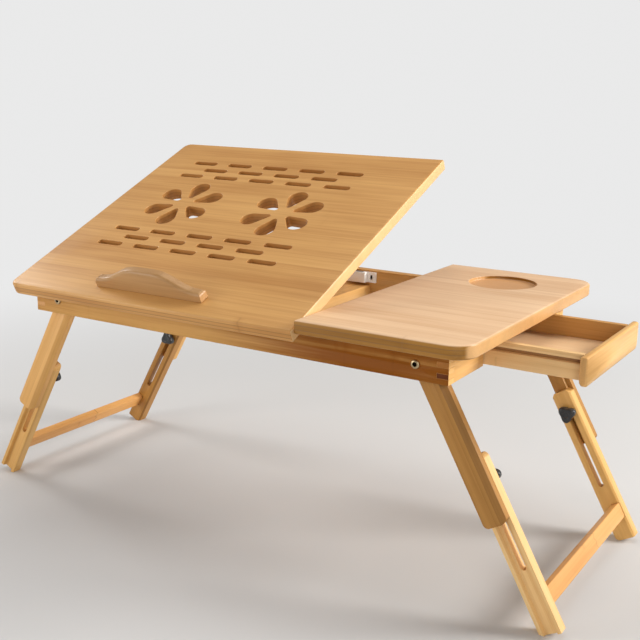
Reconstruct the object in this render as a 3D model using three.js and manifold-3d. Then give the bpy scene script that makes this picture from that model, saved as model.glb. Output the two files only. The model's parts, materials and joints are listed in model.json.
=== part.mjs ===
// Folding bamboo laptop table: a shallow frame with a fixed board, a tilting vented panel,
// a side drawer and two pairs of splayed legs that fold and slide.
// Millimetres, +Z up, standing on Z = 0, X along the table, Y from the user's edge to the back.

import * as THREE from 'three';
import { mergeVertices } from 'three/addons/utils/BufferGeometryUtils.js';
import Module from 'manifold-3d';

const wasm = await Module();
wasm.setup();

// Overall sizes
const topLength = 563;
const topDepth = 350;
const boardThickness = 14;
const fixedLength = 178;
const seamGap = 1;
const boardCorner = 24;
const panelCorner = 10;
const boardRound = 2.5;
const tiltDegrees = 23.5;

// Frame
const frameLength = 523;
const railThickness = 12;
const railHeight = 31.5;
const frontOverhang = 26;
const backOverhang = 20;
const rightOverhang = 28.5;
const fingerCount = 6;
const battenWidth = 32;
const battenHeight = 13.5;

// Fits
const seatGap = 0.3;
const runGap = 0.5;
const cutOverrun = 2;

// Legs
const splayDegrees = 29.1;
const legWidth = 22.5;
const upperThickness = 12.5;
const lowerThickness = 14;
const tongueDepth = 4;
const tongueBase = 13.5;
const tongueTip = 11.5;
const legSideGap = 1;
const pivotDrop = 30.5;
const legReach = 279.1;
const upperReach = 166;
const lowerStart = 101;
const studReach = 126;
const legTravel = 87;
const slotWidth = 6;
const legEndRound = 5;
const legTopChamfer = 4;
const legEdgeChamfer = 2;
const upperChamfer = 5;
const footDepth = 2.5;
const crossbarFromFoot = 41.1;
const crossbarHeight = 17;
const crossbarThickness = 9;
const crossbarLet = 4;

// Leg hardware
const pivotRadius = 2.5;
const pivotHeadRadius = 4.5;
const pivotHeadHeight = 1.6;
const socketRadius = 1.9;
const socketDepth = 1.1;
const pivotFlangeHeight = 2.4;
const studRadius = 2.5;
const insertRadius = 4.2;
const insertLength = 9;
const knobRadius = 8.6;
const knobLobe = 1.6;
const knobLobes = 3;
const knobSteps = 36;
const knobHeight = 7.5;
const knobCollarRadius = 6;
const knobCollarHeight = 2;
const knobEdge = 1.6;

// Fixed board
const cupRadius = 37.5;
const cupDepth = 3.8;
const cupFromRight = 83.3;
const cupFromBack = 70;

// Vents in the panel
const slotLength = 36;
const slotBreadth = 8;
const slotPitch = 54;
const slotRowPitch = 16.4;
const slotColumns = 5;
const slotRows = 3;
const ventCentre = 176.5;
const frontMarginShare = 0.293;
const backMarginShare = 0.1434;
const flowerSpacing = 144;
const petalCount = 6;
const petalClear = 16.85;
const petalInnerShare = 0.265;
const petalWidthShare = 0.49;
const petalNeckShare = 0.143;

// Stop bar
const stopLength = 144;
const stopThickness = 12;
const stopEndHeight = 10;
const stopCrown = 27;
const stopFlat = 16;
const stopFromFront = 19.5;

// Hinges
const hingeWidth = 38;
const hingeInset = 62;
const leafThickness = 1;
const leafReach = 11;
const knuckleRadius = 2.3;
const knuckleCount = 5;
const pinRadius = 0.9;

// Prop under the panel
const propSpacing = 120;
const propShortening = 3.2;
const propDrop = 9.5;
const armWidth = 10;
const armHeight = 9;
const armEyeRadius = 6;
const propRodRadius = 3;
const dowelRadius = 4;
const propBlockWidth = 12;
const propBlockDepth = 20;
const propBlockRise = 7;
const propBlockFall = 8;
const propBlockCorner = 6;
const ratchetWidth = 9;
const ratchetThickness = 7.4;
const ratchetPitch = 13.2;
const ratchetNotches = 4;
const notchRadius = 4.4;
const notchDepth = 3.6;
const dowelReachRight = 40;
const dowelEnd = 1.5;

// Panel catch
const catchLength = 50;
const catchBodyLength = 26;
const catchHeight = 13;
const catchDepth = 9.3;
const earThickness = 3;
const earSlotWidth = 3.2;
const earSlotHeight = 6.4;
const poleThickness = 1.2;
const poleLength = 16;
const poleSpacing = 3;
const poleRise = 0.3;
const polePocket = 7;
const strikeThickness = 0.8;
const strikeLength = 24;
const strikeWidth = 8;

// Drawer
const drawerPull = 97;
const drawerWidth = 140;
const drawerLength = 205;
const drawerTop = 5;
const drawerHeight = 25;
const drawerWall = 7;
const drawerFrontWidth = 166;
const drawerFrontThickness = 7;
const drawerFrontRound = 2.5;
const drawerFrontDrop = 4;
const drawerFrontHeight = 29;
const drawerFrontCorner = 7;
const drawerFloorThickness = 3;
const drawerFloorRise = 2;
const floorTongue = 1.6;
const floorGroove = 3;
const runnerLip = 5.5;
const runnerGroove = 4;
const runnerTongue = 3.4;
const runnerWidth = 10;
const runnerBelow = 1.5;
const doorGap = 1;

// Places worked out from the sizes above
const splay = THREE.MathUtils.degToRad(splayDegrees);
const tilt = THREE.MathUtils.degToRad(tiltDegrees);
const halfLeg = legWidth / 2;
const pivotZ = legReach * Math.cos(splay) + halfLeg * Math.sin(splay) - footDepth;
const topZ = pivotZ + pivotDrop;
const underZ = topZ - boardThickness;
const railBottom = underZ - railHeight;
const frameHalf = frameLength / 2;
const endInner = frameHalf - railThickness;
const frameFront = frontOverhang;
const frameBack = topDepth - backOverhang;
const innerFront = frameFront + railThickness;
const innerBack = frameBack - railThickness;
const boardRight = frameHalf + rightOverhang;
const seamX = boardRight - fixedLength;
const panelRight = seamX - seamGap;
const panelLeft = boardRight - topLength;
const stopDrop = pivotZ - railBottom;
const pivotX = endInner - (halfLeg + seatGap + stopDrop * Math.sin(splay)) / Math.cos(splay);
const legFront = innerFront + legSideGap;
const legBack = innerBack - legSideGap;
const panelUnder = underZ + seatGap;
const hingeZ = panelUnder - seatGap - knuckleRadius;
const hingeY = frameFront - seatGap - knuckleRadius;
const mortiseZ = hingeZ - leafThickness / 2;
const battenTop = railBottom + battenHeight;
const drawerCentre = topDepth / 2;
const drawerNear = drawerCentre - drawerWidth / 2;
const drawerFar = drawerCentre + drawerWidth / 2;
const drawerTopZ = underZ - drawerTop;
const drawerBottomZ = drawerTopZ - drawerHeight;
const drawerFace = frameHalf + seatGap;
const propY = hingeY + propSpacing;
const propZ = hingeZ - propDrop;
const propLength = propSpacing - propShortening;
const restReach = (propSpacing + propLength) * Math.cos(tilt) - propDrop * Math.sin(tilt);
const dowelLeft = dowelEnd - endInner;
const bandDepth = (slotRows - 1) * slotRowPitch;
const frontMargin = topDepth * frontMarginShare;
const backBand = topDepth * (1 - backMarginShare) - bandDepth;
const flowerMiddle = (frontMargin + bandDepth + backBand) / 2;
const petalOuter = backBand - flowerMiddle - petalClear;
const petalInner = petalOuter * petalInnerShare;
const petalWidth = petalOuter * petalWidthShare;
const petalNeck = petalOuter * petalNeckShare;
const crossbarReach = legReach - crossbarFromFoot;
const depthMiddle = (panelFrontReach() + topDepth) / 2;

// The tilted panel's upper front edge swings out past the fixed board's front edge.
function panelFrontReach() {
  const inset = boardRound * (1 - Math.SQRT1_2);
  const rise = panelUnder + boardThickness - inset - hingeZ;
  return hingeY - (hingeY - inset) * Math.cos(tilt) - rise * Math.sin(tilt);
}

// Materials
function wood(name, color) {
  return new THREE.MeshStandardMaterial({ name, color, roughness: 0.5, metalness: 0 });
}

function metal(name, color, roughness) {
  return new THREE.MeshStandardMaterial({ name, color, roughness, metalness: 1 });
}

function plastic(name, color) {
  return new THREE.MeshStandardMaterial({ name, color, roughness: 0.45, metalness: 0 });
}

const boardBamboo = () => wood('board bamboo', 0xe2c0a0);
const panelBamboo = () => wood('panel bamboo', 0xcd9b61);
const railBamboo = () => wood('rail bamboo', 0xc98f4e);
const legBamboo = () => wood('leg bamboo', 0xc08a48);
const drawerBamboo = () => wood('drawer bamboo', 0xd9a469);
const steel = () => metal('zinc plated steel', 0xb9bbbd, 0.35);
const brass = () => metal('brass', 0xb08d3c, 0.35);
const blackPlastic = () => plastic('black plastic', 0x1d1f20);
const whitePlastic = () => plastic('white plastic', 0xf0efec);

// Solids
const axisX = new THREE.Vector3(1, 0, 0);
const axisY = new THREE.Vector3(0, 1, 0);
const axisZ = new THREE.Vector3(0, 0, 1);

function polygon(points) {
  return new THREE.Shape(points.map(([a, b]) => new THREE.Vector2(a, b)));
}

function rectangle(left, bottom, right, top) {
  return polygon([[left, bottom], [right, bottom], [right, top], [left, top]]);
}

function circle(x, y, radius) {
  const shape = new THREE.Path();
  shape.absarc(x, y, radius, 0, Math.PI * 2);
  return shape;
}

function roundedRectangle(left, bottom, right, top, radii) {
  const [bottomRight, topRight, topLeft, bottomLeft] = radii;
  const shape = new THREE.Shape();
  shape.moveTo(left + bottomLeft, bottom);
  shape.lineTo(right - bottomRight, bottom);
  if (bottomRight) shape.absarc(right - bottomRight, bottom + bottomRight, bottomRight, -Math.PI / 2, 0);
  shape.lineTo(right, top - topRight);
  if (topRight) shape.absarc(right - topRight, top - topRight, topRight, 0, Math.PI / 2);
  shape.lineTo(left + topLeft, top);
  if (topLeft) shape.absarc(left + topLeft, top - topLeft, topLeft, Math.PI / 2, Math.PI);
  shape.lineTo(left, bottom + bottomLeft);
  if (bottomLeft) shape.absarc(left + bottomLeft, bottom + bottomLeft, bottomLeft, Math.PI, Math.PI * 1.5);
  return shape;
}

function extrude(shape, depth, curveSegments, bevel) {
  return new THREE.ExtrudeGeometry(shape, {
    depth,
    curveSegments,
    bevelEnabled: bevel > 0,
    bevelSize: bevel,
    bevelThickness: bevel,
    bevelOffset: -bevel,
    bevelSegments: 2,
  });
}

// A shape in X and Y, standing between two heights.
function alongZ(shape, bottom, top, curveSegments = 8, bevel = 0) {
  const geometry = extrude(shape, top - bottom - 2 * bevel, curveSegments, bevel);
  return geometry.translate(0, 0, bottom + bevel);
}

// A shape in X and Z, from a near face to a far one.
function alongY(shape, near, far, curveSegments = 8, bevel = 0) {
  const geometry = extrude(shape, far - near - 2 * bevel, curveSegments, bevel);
  const turn = new THREE.Matrix4().makeBasis(axisX, axisZ, axisY.clone().negate());
  return geometry.applyMatrix4(turn).translate(0, far - bevel, 0);
}

// A shape in Y and Z, from a left face to a right one.
function alongX(shape, left, right, curveSegments = 8, bevel = 0) {
  const geometry = extrude(shape, right - left - 2 * bevel, curveSegments, bevel);
  const turn = new THREE.Matrix4().makeBasis(axisY, axisZ, axisX);
  return geometry.applyMatrix4(turn).translate(left + bevel, 0, 0);
}

function box(left, right, near, far, bottom, top) {
  return alongZ(rectangle(left, near, right, far), bottom, top);
}

function toSolid(geometry) {
  const bare = geometry.clone();
  bare.deleteAttribute('normal');
  bare.deleteAttribute('uv');
  const merged = mergeVertices(bare);
  return new wasm.Manifold(new wasm.Mesh({
    numProp: 3,
    vertProperties: new Float32Array(merged.attributes.position.array),
    triVerts: new Uint32Array(merged.index.array),
  }));
}

function toGeometry(solid) {
  const { vertProperties, triVerts } = solid.getMesh();
  const geometry = new THREE.BufferGeometry();
  geometry.setAttribute('position', new THREE.BufferAttribute(vertProperties, 3));
  geometry.setIndex(new THREE.BufferAttribute(triVerts, 1));
  return geometry;
}

function cut(geometry, ...cutters) {
  let solid = toSolid(geometry);
  for (const cutter of cutters) solid = solid.subtract(toSolid(cutter));
  return toGeometry(solid);
}

function join(geometry, ...others) {
  let solid = toSolid(geometry);
  for (const other of others) solid = solid.add(toSolid(other));
  return toGeometry(solid);
}

function common(geometry, other) {
  return toGeometry(toSolid(geometry).intersect(toSolid(other)));
}

function named(name, geometry, material) {
  const shown = geometry.index ? geometry.toNonIndexed() : geometry;
  shown.computeVertexNormals();
  const mesh = new THREE.Mesh(shown, material);
  mesh.name = name;
  return mesh;
}

// Frame rails, joined at the corners by interlocking fingers
const fingerHeight = railHeight / fingerCount;

// A stepped end of a rail's outline, going up or down, with one reach on every second step.
function fingerSteps(evenReach, oddReach, upward) {
  const points = [];
  for (let i = 0; i < fingerCount; i += 1) {
    const low = railBottom + i * fingerHeight;
    const reach = i % 2 === 0 ? evenReach : oddReach;
    points.push([reach, low], [reach, low + fingerHeight]);
  }
  return upward ? points : points.reverse();
}

function railOutline(topNotches) {
  const right = fingerSteps(frameHalf, endInner, true);
  const left = fingerSteps(-frameHalf, -endInner, false);
  const notches = topNotches.flatMap(([from, to]) => [
    [to, underZ], [to, mortiseZ], [from, mortiseZ], [from, underZ],
  ]);
  return polygon([...right, ...notches, ...left]);
}

function rail(near, topNotches) {
  const shape = railOutline(topNotches);
  for (const side of [-1, 1]) shape.holes.push(circle(side * pivotX, pivotZ, pivotRadius + seatGap));
  return alongY(shape, near, near + railThickness, 10);
}

const hingePlaces = [panelRight - hingeInset, panelLeft + hingeInset];

function frontRail() {
  const halfMortise = hingeWidth / 2 + seatGap;
  return rail(frameFront, hingePlaces.map((x) => [x - halfMortise, x + halfMortise]));
}

// Fingers on an end rail fill the steps that the long rails leave free.
function endRail(side, nearPoints, farPoints) {
  const inner = side * endInner;
  const outer = side * frameHalf;
  const shape = polygon([...farPoints, ...nearPoints]);
  return alongX(shape, Math.min(inner, outer), Math.max(inner, outer));
}

const nearFingers = fingerSteps(innerFront, frameFront, false);
const farFingers = fingerSteps(innerBack, frameBack, true);
const openingNear = drawerNear - doorGap;
const openingFar = drawerFar + doorGap;

function frame() {
  const base = new THREE.Group();
  const plainFar = [[openingNear, railBottom], [openingNear, underZ]];
  const plainNear = [[openingFar, underZ], [openingFar, railBottom]];
  base.add(
    named('front_rail', frontRail(), railBamboo()),
    named('back_rail', rail(innerBack, []), railBamboo()),
    named('left_end_rail', endRail(-1, nearFingers, farFingers), railBamboo()),
    named('right_end_rail_front', endRail(1, nearFingers, plainFar), railBamboo()),
    named('right_end_rail_back', endRail(1, plainNear, farFingers), railBamboo()),
    named('centre_batten', centreBatten(), railBamboo()),
  );
  return base;
}

function centreBatten() {
  const half = battenWidth / 2;
  return box(-half, half, innerFront, innerBack, railBottom, battenTop);
}

// Fixed board with its shallow cup recess
function fixedTop() {
  const shape = roundedRectangle(seamX, 0, boardRight, topDepth, [boardCorner, boardCorner, 0, 0]);
  const board = alongZ(shape, underZ, topZ, 8, boardRound);
  const cupX = boardRight - cupFromRight;
  const cupY = topDepth - cupFromBack;
  const recess = new THREE.Shape();
  recess.absarc(cupX, cupY, cupRadius, 0, Math.PI * 2);
  return cut(board, alongZ(recess, topZ - cupDepth, topZ + cutOverrun, 20));
}

// Tilting panel: staggered slots in two bands, with two six-petalled vents between them
function slotHole(x, y) {
  const radius = slotBreadth / 2;
  const half = slotLength / 2 - radius;
  const shape = new THREE.Shape();
  shape.absarc(x + half, y, radius, -Math.PI / 2, Math.PI / 2);
  shape.absarc(x - half, y, radius, Math.PI / 2, Math.PI * 1.5);
  return shape;
}

function slotBand(firstRow) {
  const holes = [];
  for (let row = 0; row < slotRows; row += 1) {
    const columns = slotColumns - (row % 2);
    for (let column = 0; column < columns; column += 1) {
      const across = (column - (columns - 1) / 2) * slotPitch;
      holes.push(slotHole(panelLeft + ventCentre + across, firstRow + row * slotRowPitch));
    }
  }
  return holes;
}

// A petal is a narrow arc near the heart and a wide one outside, with straight flanks between.
function petalHole(x, y, angle) {
  const outerRadius = petalWidth / 2;
  const innerRadius = petalNeck / 2;
  const outer = petalOuter - outerRadius;
  const inner = petalInner + innerRadius;
  const lean = Math.acos((outerRadius - innerRadius) / (outer - inner));
  const shape = new THREE.Shape();
  const place = (reach) => [x + reach * Math.cos(angle), y + reach * Math.sin(angle)];
  const flank = Math.PI - lean;
  shape.absarc(...place(outer), outerRadius, angle - flank, angle + flank);
  shape.absarc(...place(inner), innerRadius, angle + flank, angle + Math.PI * 2 - flank);
  return shape;
}

function flower(x, y) {
  const petals = [];
  for (let i = 0; i < petalCount; i += 1) {
    const angle = Math.PI / 2 + (i * Math.PI * 2) / petalCount;
    petals.push(petalHole(x, y, angle));
  }
  return petals;
}

function tiltPanel() {
  const shape = roundedRectangle(panelLeft, 0, panelRight, topDepth, [0, 0, panelCorner, panelCorner]);
  const top = panelUnder + boardThickness;
  const board = alongZ(shape, panelUnder, top, 8, boardRound);
  const middle = panelLeft + ventCentre;
  const holes = [
    ...slotBand(frontMargin),
    ...slotBand(backBand),
    ...flower(middle - flowerSpacing / 2, flowerMiddle),
    ...flower(middle + flowerSpacing / 2, flowerMiddle),
  ];
  return cut(board, ...holes.map((hole) => alongZ(hole, panelUnder - cutOverrun, top + cutOverrun, 4)));
}

// Stop bar with a raised middle, along the panel's front edge
function stopBar() {
  const half = stopLength / 2;
  const flat = stopFlat / 2;
  const bend = (half - flat) / 2;
  const shape = new THREE.Shape();
  shape.moveTo(-half, 0);
  shape.lineTo(half, 0);
  shape.lineTo(half, stopEndHeight);
  shape.bezierCurveTo(half - bend, stopEndHeight, flat + bend, stopCrown, flat, stopCrown);
  shape.lineTo(-flat, stopCrown);
  shape.bezierCurveTo(-flat - bend, stopCrown, bend - half, stopEndHeight, -half, stopEndHeight);
  const bar = alongY(shape, stopFromFront, stopFromFront + stopThickness, 8);
  const middle = (panelLeft + panelRight) / 2;
  return bar.translate(middle, 0, panelUnder + boardThickness + seatGap);
}

// Ratchet strip under the panel, with round notches for the prop's dowel
function ratchet(left) {
  const top = panelUnder - seatGap;
  const bottom = top - ratchetThickness;
  const firstNotch = hingeY + restReach - 2 * ratchetPitch;
  const near = firstNotch - ratchetPitch;
  const far = firstNotch + ratchetNotches * ratchetPitch;
  const lift = notchRadius - notchDepth;
  const half = Math.sqrt(notchRadius ** 2 - lift ** 2);
  const swing = Math.asin(lift / notchRadius);
  const shape = new THREE.Shape();
  shape.moveTo(near, top);
  shape.lineTo(near, bottom);
  for (let i = 0; i < ratchetNotches; i += 1) {
    const y = firstNotch + i * ratchetPitch;
    shape.lineTo(y - half, bottom);
    shape.absarc(y, bottom - lift, notchRadius, Math.PI - swing, swing, true);
  }
  shape.lineTo(far, bottom);
  shape.lineTo(far, top);
  return alongX(shape, left, left + ratchetWidth, 6);
}

// Butt hinge: two leaves with interleaved knuckles round one pin
function hingeLeaf(x, ownsEven, plateBottom) {
  const knuckleLength = hingeWidth / knuckleCount;
  const left = x - hingeWidth / 2;
  const slack = seatGap / 2;
  const plate = box(left, left + hingeWidth, hingeY + knuckleRadius + seatGap, frameFront + leafReach,
    plateBottom, plateBottom + leafThickness);
  const pieces = [];
  for (let i = 0; i < knuckleCount; i += 1) {
    if ((i % 2 === 0) !== ownsEven) continue;
    const from = left + i * knuckleLength + slack;
    const to = from + knuckleLength - seatGap;
    const eye = new THREE.Shape();
    eye.absarc(hingeY, hingeZ, knuckleRadius, 0, Math.PI * 2);
    pieces.push(alongX(eye, from, to, 8));
    pieces.push(box(from, to, hingeY, hingeY + knuckleRadius + 2 * seatGap,
      plateBottom, plateBottom + leafThickness));
  }
  const bore = new THREE.Shape();
  bore.absarc(hingeY, hingeZ, pinRadius + seatGap, 0, Math.PI * 2);
  const leaf = join(plate, ...pieces);
  return cut(leaf, alongX(bore, left - cutOverrun, left + hingeWidth + cutOverrun, 6));
}

function hingePin(x) {
  const round = new THREE.Shape();
  round.absarc(hingeY, hingeZ, pinRadius, 0, Math.PI * 2);
  return alongX(round, x - hingeWidth / 2, x + hingeWidth / 2, 6);
}

// Prop that holds the panel up: two arms on a steel rod, joined at their tips by a dowel
function propBlock(left, bottom) {
  const shape = roundedRectangle(propY - propBlockDepth / 2, bottom, propY + propBlockDepth / 2,
    propZ + propBlockRise, [0, propBlockCorner, propBlockCorner, 0]);
  shape.holes.push(circle(propY, propZ, propRodRadius + seatGap));
  return alongX(shape, left, left + propBlockWidth, 8);
}

// Arm drawn flat, from its pivot at the origin towards +Y.
function propArm(left) {
  const half = armHeight / 2;
  const swing = Math.asin(half / armEyeRadius);
  const shape = new THREE.Shape();
  shape.absarc(0, 0, armEyeRadius, swing, Math.PI * 2 - swing);
  shape.absarc(propLength, 0, armEyeRadius, Math.PI + swing, Math.PI * 3 - swing);
  shape.holes.push(circle(0, 0, propRodRadius + seatGap));
  shape.holes.push(circle(propLength, 0, dowelRadius + seatGap));
  return alongX(shape, left, left + armWidth, 8);
}

function roundBar(y, z, radius, left, right) {
  const round = new THREE.Shape();
  round.absarc(y, z, radius, 0, Math.PI * 2);
  return alongX(round, left, right, 8);
}

const leftBlock = -endInner;
const leftArm = leftBlock + propBlockWidth + runGap;
const rightBlock = battenWidth / 2 - propBlockWidth;
const rightArm = battenWidth / 2 + runGap;
const rodRight = rightArm + armWidth + dowelEnd;

function prop() {
  const swing = new THREE.Group();
  swing.position.set(0, propY, propZ);
  swing.rotation.x = 2 * tilt;
  swing.add(
    named('prop_arm_left', propArm(leftArm), railBamboo()),
    named('prop_arm_right', propArm(rightArm), railBamboo()),
    named('prop_dowel', roundBar(propLength, 0, dowelRadius, dowelLeft, dowelReachRight), railBamboo()),
  );
  return swing;
}

function propMounts() {
  const mounts = new THREE.Group();
  mounts.add(
    named('prop_block_left', propBlock(leftBlock, propZ - propBlockFall), railBamboo()),
    named('prop_block_right', propBlock(rightBlock, battenTop), railBamboo()),
    named('prop_rod', roundBar(propY, propZ, propRodRadius, leftBlock, rodRight), steel()),
  );
  return mounts;
}

// Magnetic catch on the back rail, for the closed panel: a body between two slotted ears
const catchBack = innerBack - seatGap;
const catchNear = catchBack - catchDepth;
const catchTop = panelUnder - 3 * seatGap - strikeThickness - poleRise;
const catchBottom = catchTop - catchHeight;
const poleFloor = catchTop - polePocket;
const poleMiddle = catchBack - catchDepth / 2;
const poleNear = poleMiddle - poleSpacing / 2 - poleThickness;
const poleFar = poleMiddle + poleSpacing / 2 + poleThickness;

function earSlot(x) {
  const half = earSlotWidth / 2;
  const reach = (earSlotHeight - earSlotWidth) / 2;
  const middle = (catchTop + catchBottom) / 2;
  const shape = new THREE.Shape();
  shape.absarc(x, middle + reach, half, 0, Math.PI);
  shape.absarc(x, middle - reach, half, Math.PI, Math.PI * 2);
  return alongY(shape, catchNear, catchBack + cutOverrun, 4);
}

function catchBody() {
  const half = catchLength / 2;
  const halfBody = catchBodyLength / 2;
  const earNear = catchBack - earThickness;
  const slotAt = (half + halfBody) / 2;
  const shape = polygon([
    [-half, catchBack], [-half, earNear], [-halfBody, earNear], [-halfBody, catchNear],
    [halfBody, catchNear], [halfBody, earNear], [half, earNear], [half, catchBack],
  ]);
  const reach = poleLength / 2 + seatGap;
  const pocket = box(-reach, reach, poleNear - seatGap, poleFar + seatGap,
    poleFloor, catchTop + cutOverrun);
  return cut(alongZ(shape, catchBottom, catchTop), pocket, earSlot(-slotAt), earSlot(slotAt));
}

// Magnet block with a steel pole plate standing proud on each side
function catchMagnet() {
  const half = poleLength / 2;
  const floor = poleFloor + seatGap;
  return join(
    box(-half, half, poleNear + poleThickness / 2, poleFar - poleThickness / 2, floor, catchTop - poleRise),
    box(-half, half, poleNear, poleNear + poleThickness, floor, catchTop + poleRise),
    box(-half, half, poleFar - poleThickness, poleFar, floor, catchTop + poleRise),
  );
}

function strikePlate() {
  const top = panelUnder - seatGap;
  const half = strikeLength / 2;
  const reach = strikeWidth / 2;
  return box(-half, half, poleMiddle - reach, poleMiddle + reach, top - strikeThickness, top);
}

// Drawer, drawn closed
const drawerRear = drawerFace - drawerLength;
const floorZ = drawerBottomZ + drawerFloorRise;

function drawerSide(side) {
  const outer = drawerCentre + (side * drawerWidth) / 2;
  const inner = outer - side * drawerWall;
  const grooveTop = drawerTopZ - runnerLip;
  const grooveBottom = grooveTop - runnerGroove;
  const grooveIn = outer - side * (runnerTongue + runGap);
  const slit = inner + side * floorGroove;
  const tongueTop = floorZ + floorTongue;
  const shape = polygon([
    [outer, drawerTopZ], [outer, grooveTop], [grooveIn, grooveTop], [grooveIn, grooveBottom],
    [outer, grooveBottom], [outer, drawerBottomZ], [inner, drawerBottomZ], [inner, floorZ],
    [slit, floorZ], [slit, tongueTop], [inner, tongueTop],
    [inner, drawerTopZ],
  ]);
  return alongX(shape, drawerRear, drawerFace);
}

function drawerFront() {
  const top = underZ - drawerFrontDrop;
  const half = drawerFrontWidth / 2;
  const corner = drawerFrontCorner;
  const shape = roundedRectangle(drawerCentre - half, top - drawerFrontHeight, drawerCentre + half, top,
    [corner, 0, 0, corner]);
  return alongX(shape, drawerFace, drawerFace + drawerFrontThickness, 4, drawerFrontRound);
}

function drawerBack() {
  return box(drawerRear, drawerRear + drawerWall, drawerNear + drawerWall, drawerFar - drawerWall,
    floorZ + floorTongue, drawerTopZ);
}

// A thin tongue runs in the sides' grooves and under the back; the field inside stands higher.
function drawerFloor() {
  const outside = drawerWall - floorGroove;
  const inside = drawerWall + seatGap;
  const tongue = box(drawerRear, drawerFace, drawerNear + outside, drawerFar - outside,
    floorZ, floorZ + floorTongue);
  const field = box(drawerRear + inside, drawerFace - seatGap, drawerNear + inside, drawerFar - inside,
    floorZ, floorZ + drawerFloorThickness);
  return join(tongue, field);
}

function drawer() {
  const pulled = new THREE.Group();
  pulled.position.x = drawerPull;
  pulled.add(
    named('drawer_front', drawerFront(), drawerBamboo()),
    named('drawer_side_near', drawerSide(-1), drawerBamboo()),
    named('drawer_side_far', drawerSide(1), drawerBamboo()),
    named('drawer_back', drawerBack(), drawerBamboo()),
    named('drawer_floor', drawerFloor(), drawerBamboo()),
  );
  return pulled;
}

// Runner hung under the fixed board, with a tongue in the drawer side's groove
function runner(side) {
  const face = drawerCentre + side * (drawerWidth / 2 + runGap);
  const outer = face + side * runnerWidth;
  const tip = face - side * (runnerTongue + runGap - seatGap);
  const top = drawerTopZ - runnerLip - seatGap;
  const bottom = top - runnerGroove + 2 * seatGap;
  const shape = polygon([
    [outer, underZ], [face, underZ], [face, top], [tip, top], [tip, bottom], [face, bottom],
    [face, bottom - runnerBelow], [outer, bottom - runnerBelow],
  ]);
  return alongX(shape, seamX, endInner);
}

// Legs. Each is drawn hanging straight down from its pivot at the origin, with `out` the sign of
// the direction in which it splays and `inward` the sign of the Y direction towards the middle.
function legPrism(section, from, to) {
  return alongZ(section, -to, -from);
}

function upperSection(inward) {
  const base = tongueBase / 2;
  const tip = tongueTip / 2;
  const back = inward * upperThickness;
  const front = back + inward * tongueDepth;
  return polygon([
    [-halfLeg, 0], [halfLeg - upperChamfer, 0], [halfLeg, inward * upperChamfer], [halfLeg, back],
    [base, back], [tip, front], [-tip, front], [-base, back], [-halfLeg, back],
  ]);
}

function yCylinder(x, z, radius, from, to, segments = 8) {
  const round = new THREE.Shape();
  round.absarc(x, z, radius, 0, Math.PI * 2);
  return alongY(round, Math.min(from, to), Math.max(from, to), segments);
}

function upperLeg(inward) {
  const far = inward * (upperThickness + tongueDepth + cutOverrun);
  const near = -inward * cutOverrun;
  const outline = roundedRectangle(-halfLeg, -upperReach, halfLeg, halfLeg,
    [legEndRound, halfLeg, halfLeg, legEndRound]);
  const blank = common(
    legPrism(upperSection(inward), -halfLeg - cutOverrun, upperReach + cutOverrun),
    alongY(outline, Math.min(near, far), Math.max(near, far), 8),
  );
  const insertStart = inward * (upperThickness + tongueDepth - insertLength);
  return cut(
    blank,
    yCylinder(0, 0, pivotRadius + seatGap, near, far),
    yCylinder(0, -studReach, insertRadius + seatGap, insertStart, far),
  );
}

function lowerSection(inward) {
  const base = tongueBase / 2 + runGap;
  const tip = tongueTip / 2 + runGap;
  const face = inward * seatGap;
  const bed = inward * (tongueDepth + 2 * seatGap);
  const back = inward * lowerThickness;
  const shoulder = back - inward * legEdgeChamfer;
  return polygon([
    [-halfLeg, face], [-base, face], [-tip, bed], [tip, bed], [base, face], [halfLeg, face],
    [halfLeg, shoulder], [halfLeg - legEdgeChamfer, back], [legEdgeChamfer - halfLeg, back],
    [-halfLeg, shoulder],
  ]);
}

// Lower leg outline: chamfered top corners, square end, and a small flat that meets the floor.
function lowerOutline(out) {
  const along = footDepth / Math.cos(splay);
  const across = footDepth / Math.sin(splay);
  const corner = halfLeg - legTopChamfer;
  const top = -lowerStart;
  return polygon([
    [-out * halfLeg, top - legTopChamfer], [-out * corner, top], [out * corner, top],
    [out * halfLeg, top - legTopChamfer], [out * halfLeg, -legReach],
    [out * (across - halfLeg), -legReach], [-out * halfLeg, along - legReach],
  ]);
}

function lowerLeg(out, inward) {
  const near = -inward * cutOverrun;
  const far = inward * (lowerThickness + cutOverrun);
  const blank = common(
    legPrism(lowerSection(inward), lowerStart - cutOverrun, legReach + cutOverrun),
    alongY(lowerOutline(out), Math.min(near, far), Math.max(near, far)),
  );
  const half = slotWidth / 2;
  const slot = new THREE.Shape();
  slot.absarc(0, -studReach, half, 0, Math.PI);
  slot.absarc(0, -studReach - legTravel, half, Math.PI, Math.PI * 2);
  const pocketFloor = inward * (lowerThickness - crossbarLet);
  const pocket = crossbarShape(out, seatGap);
  return cut(
    blank,
    alongY(slot, Math.min(near, far), Math.max(near, far), 8),
    alongY(pocket, Math.min(pocketFloor, far), Math.max(pocketFloor, far)),
  );
}

// The crossbar's section beside the leg's outer edge, with an allowance all round.
function crossbarShape(out, allowance) {
  const outer = halfLeg - legEdgeChamfer / 2;
  const inner = outer - crossbarThickness;
  const low = -crossbarReach - crossbarHeight - allowance;
  const high = -crossbarReach + allowance;
  const edges = [out * (inner - allowance), out * (outer + allowance)].sort((a, b) => a - b);
  return rectangle(edges[0], low, edges[1], high);
}

function crossbar(out) {
  const near = legFront + upperThickness + lowerThickness - crossbarLet + seatGap;
  const far = legBack - upperThickness - lowerThickness + crossbarLet - seatGap;
  return alongY(crossbarShape(out, 0), near, far);
}

// Turned parts of a leg, drawn along +Y from the leg's outer face
function turned(profile, inward) {
  const geometry = new THREE.LatheGeometry(profile.map(([r, y]) => new THREE.Vector2(r, y)), 16);
  return inward > 0 ? geometry : geometry.rotateZ(Math.PI);
}

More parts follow.
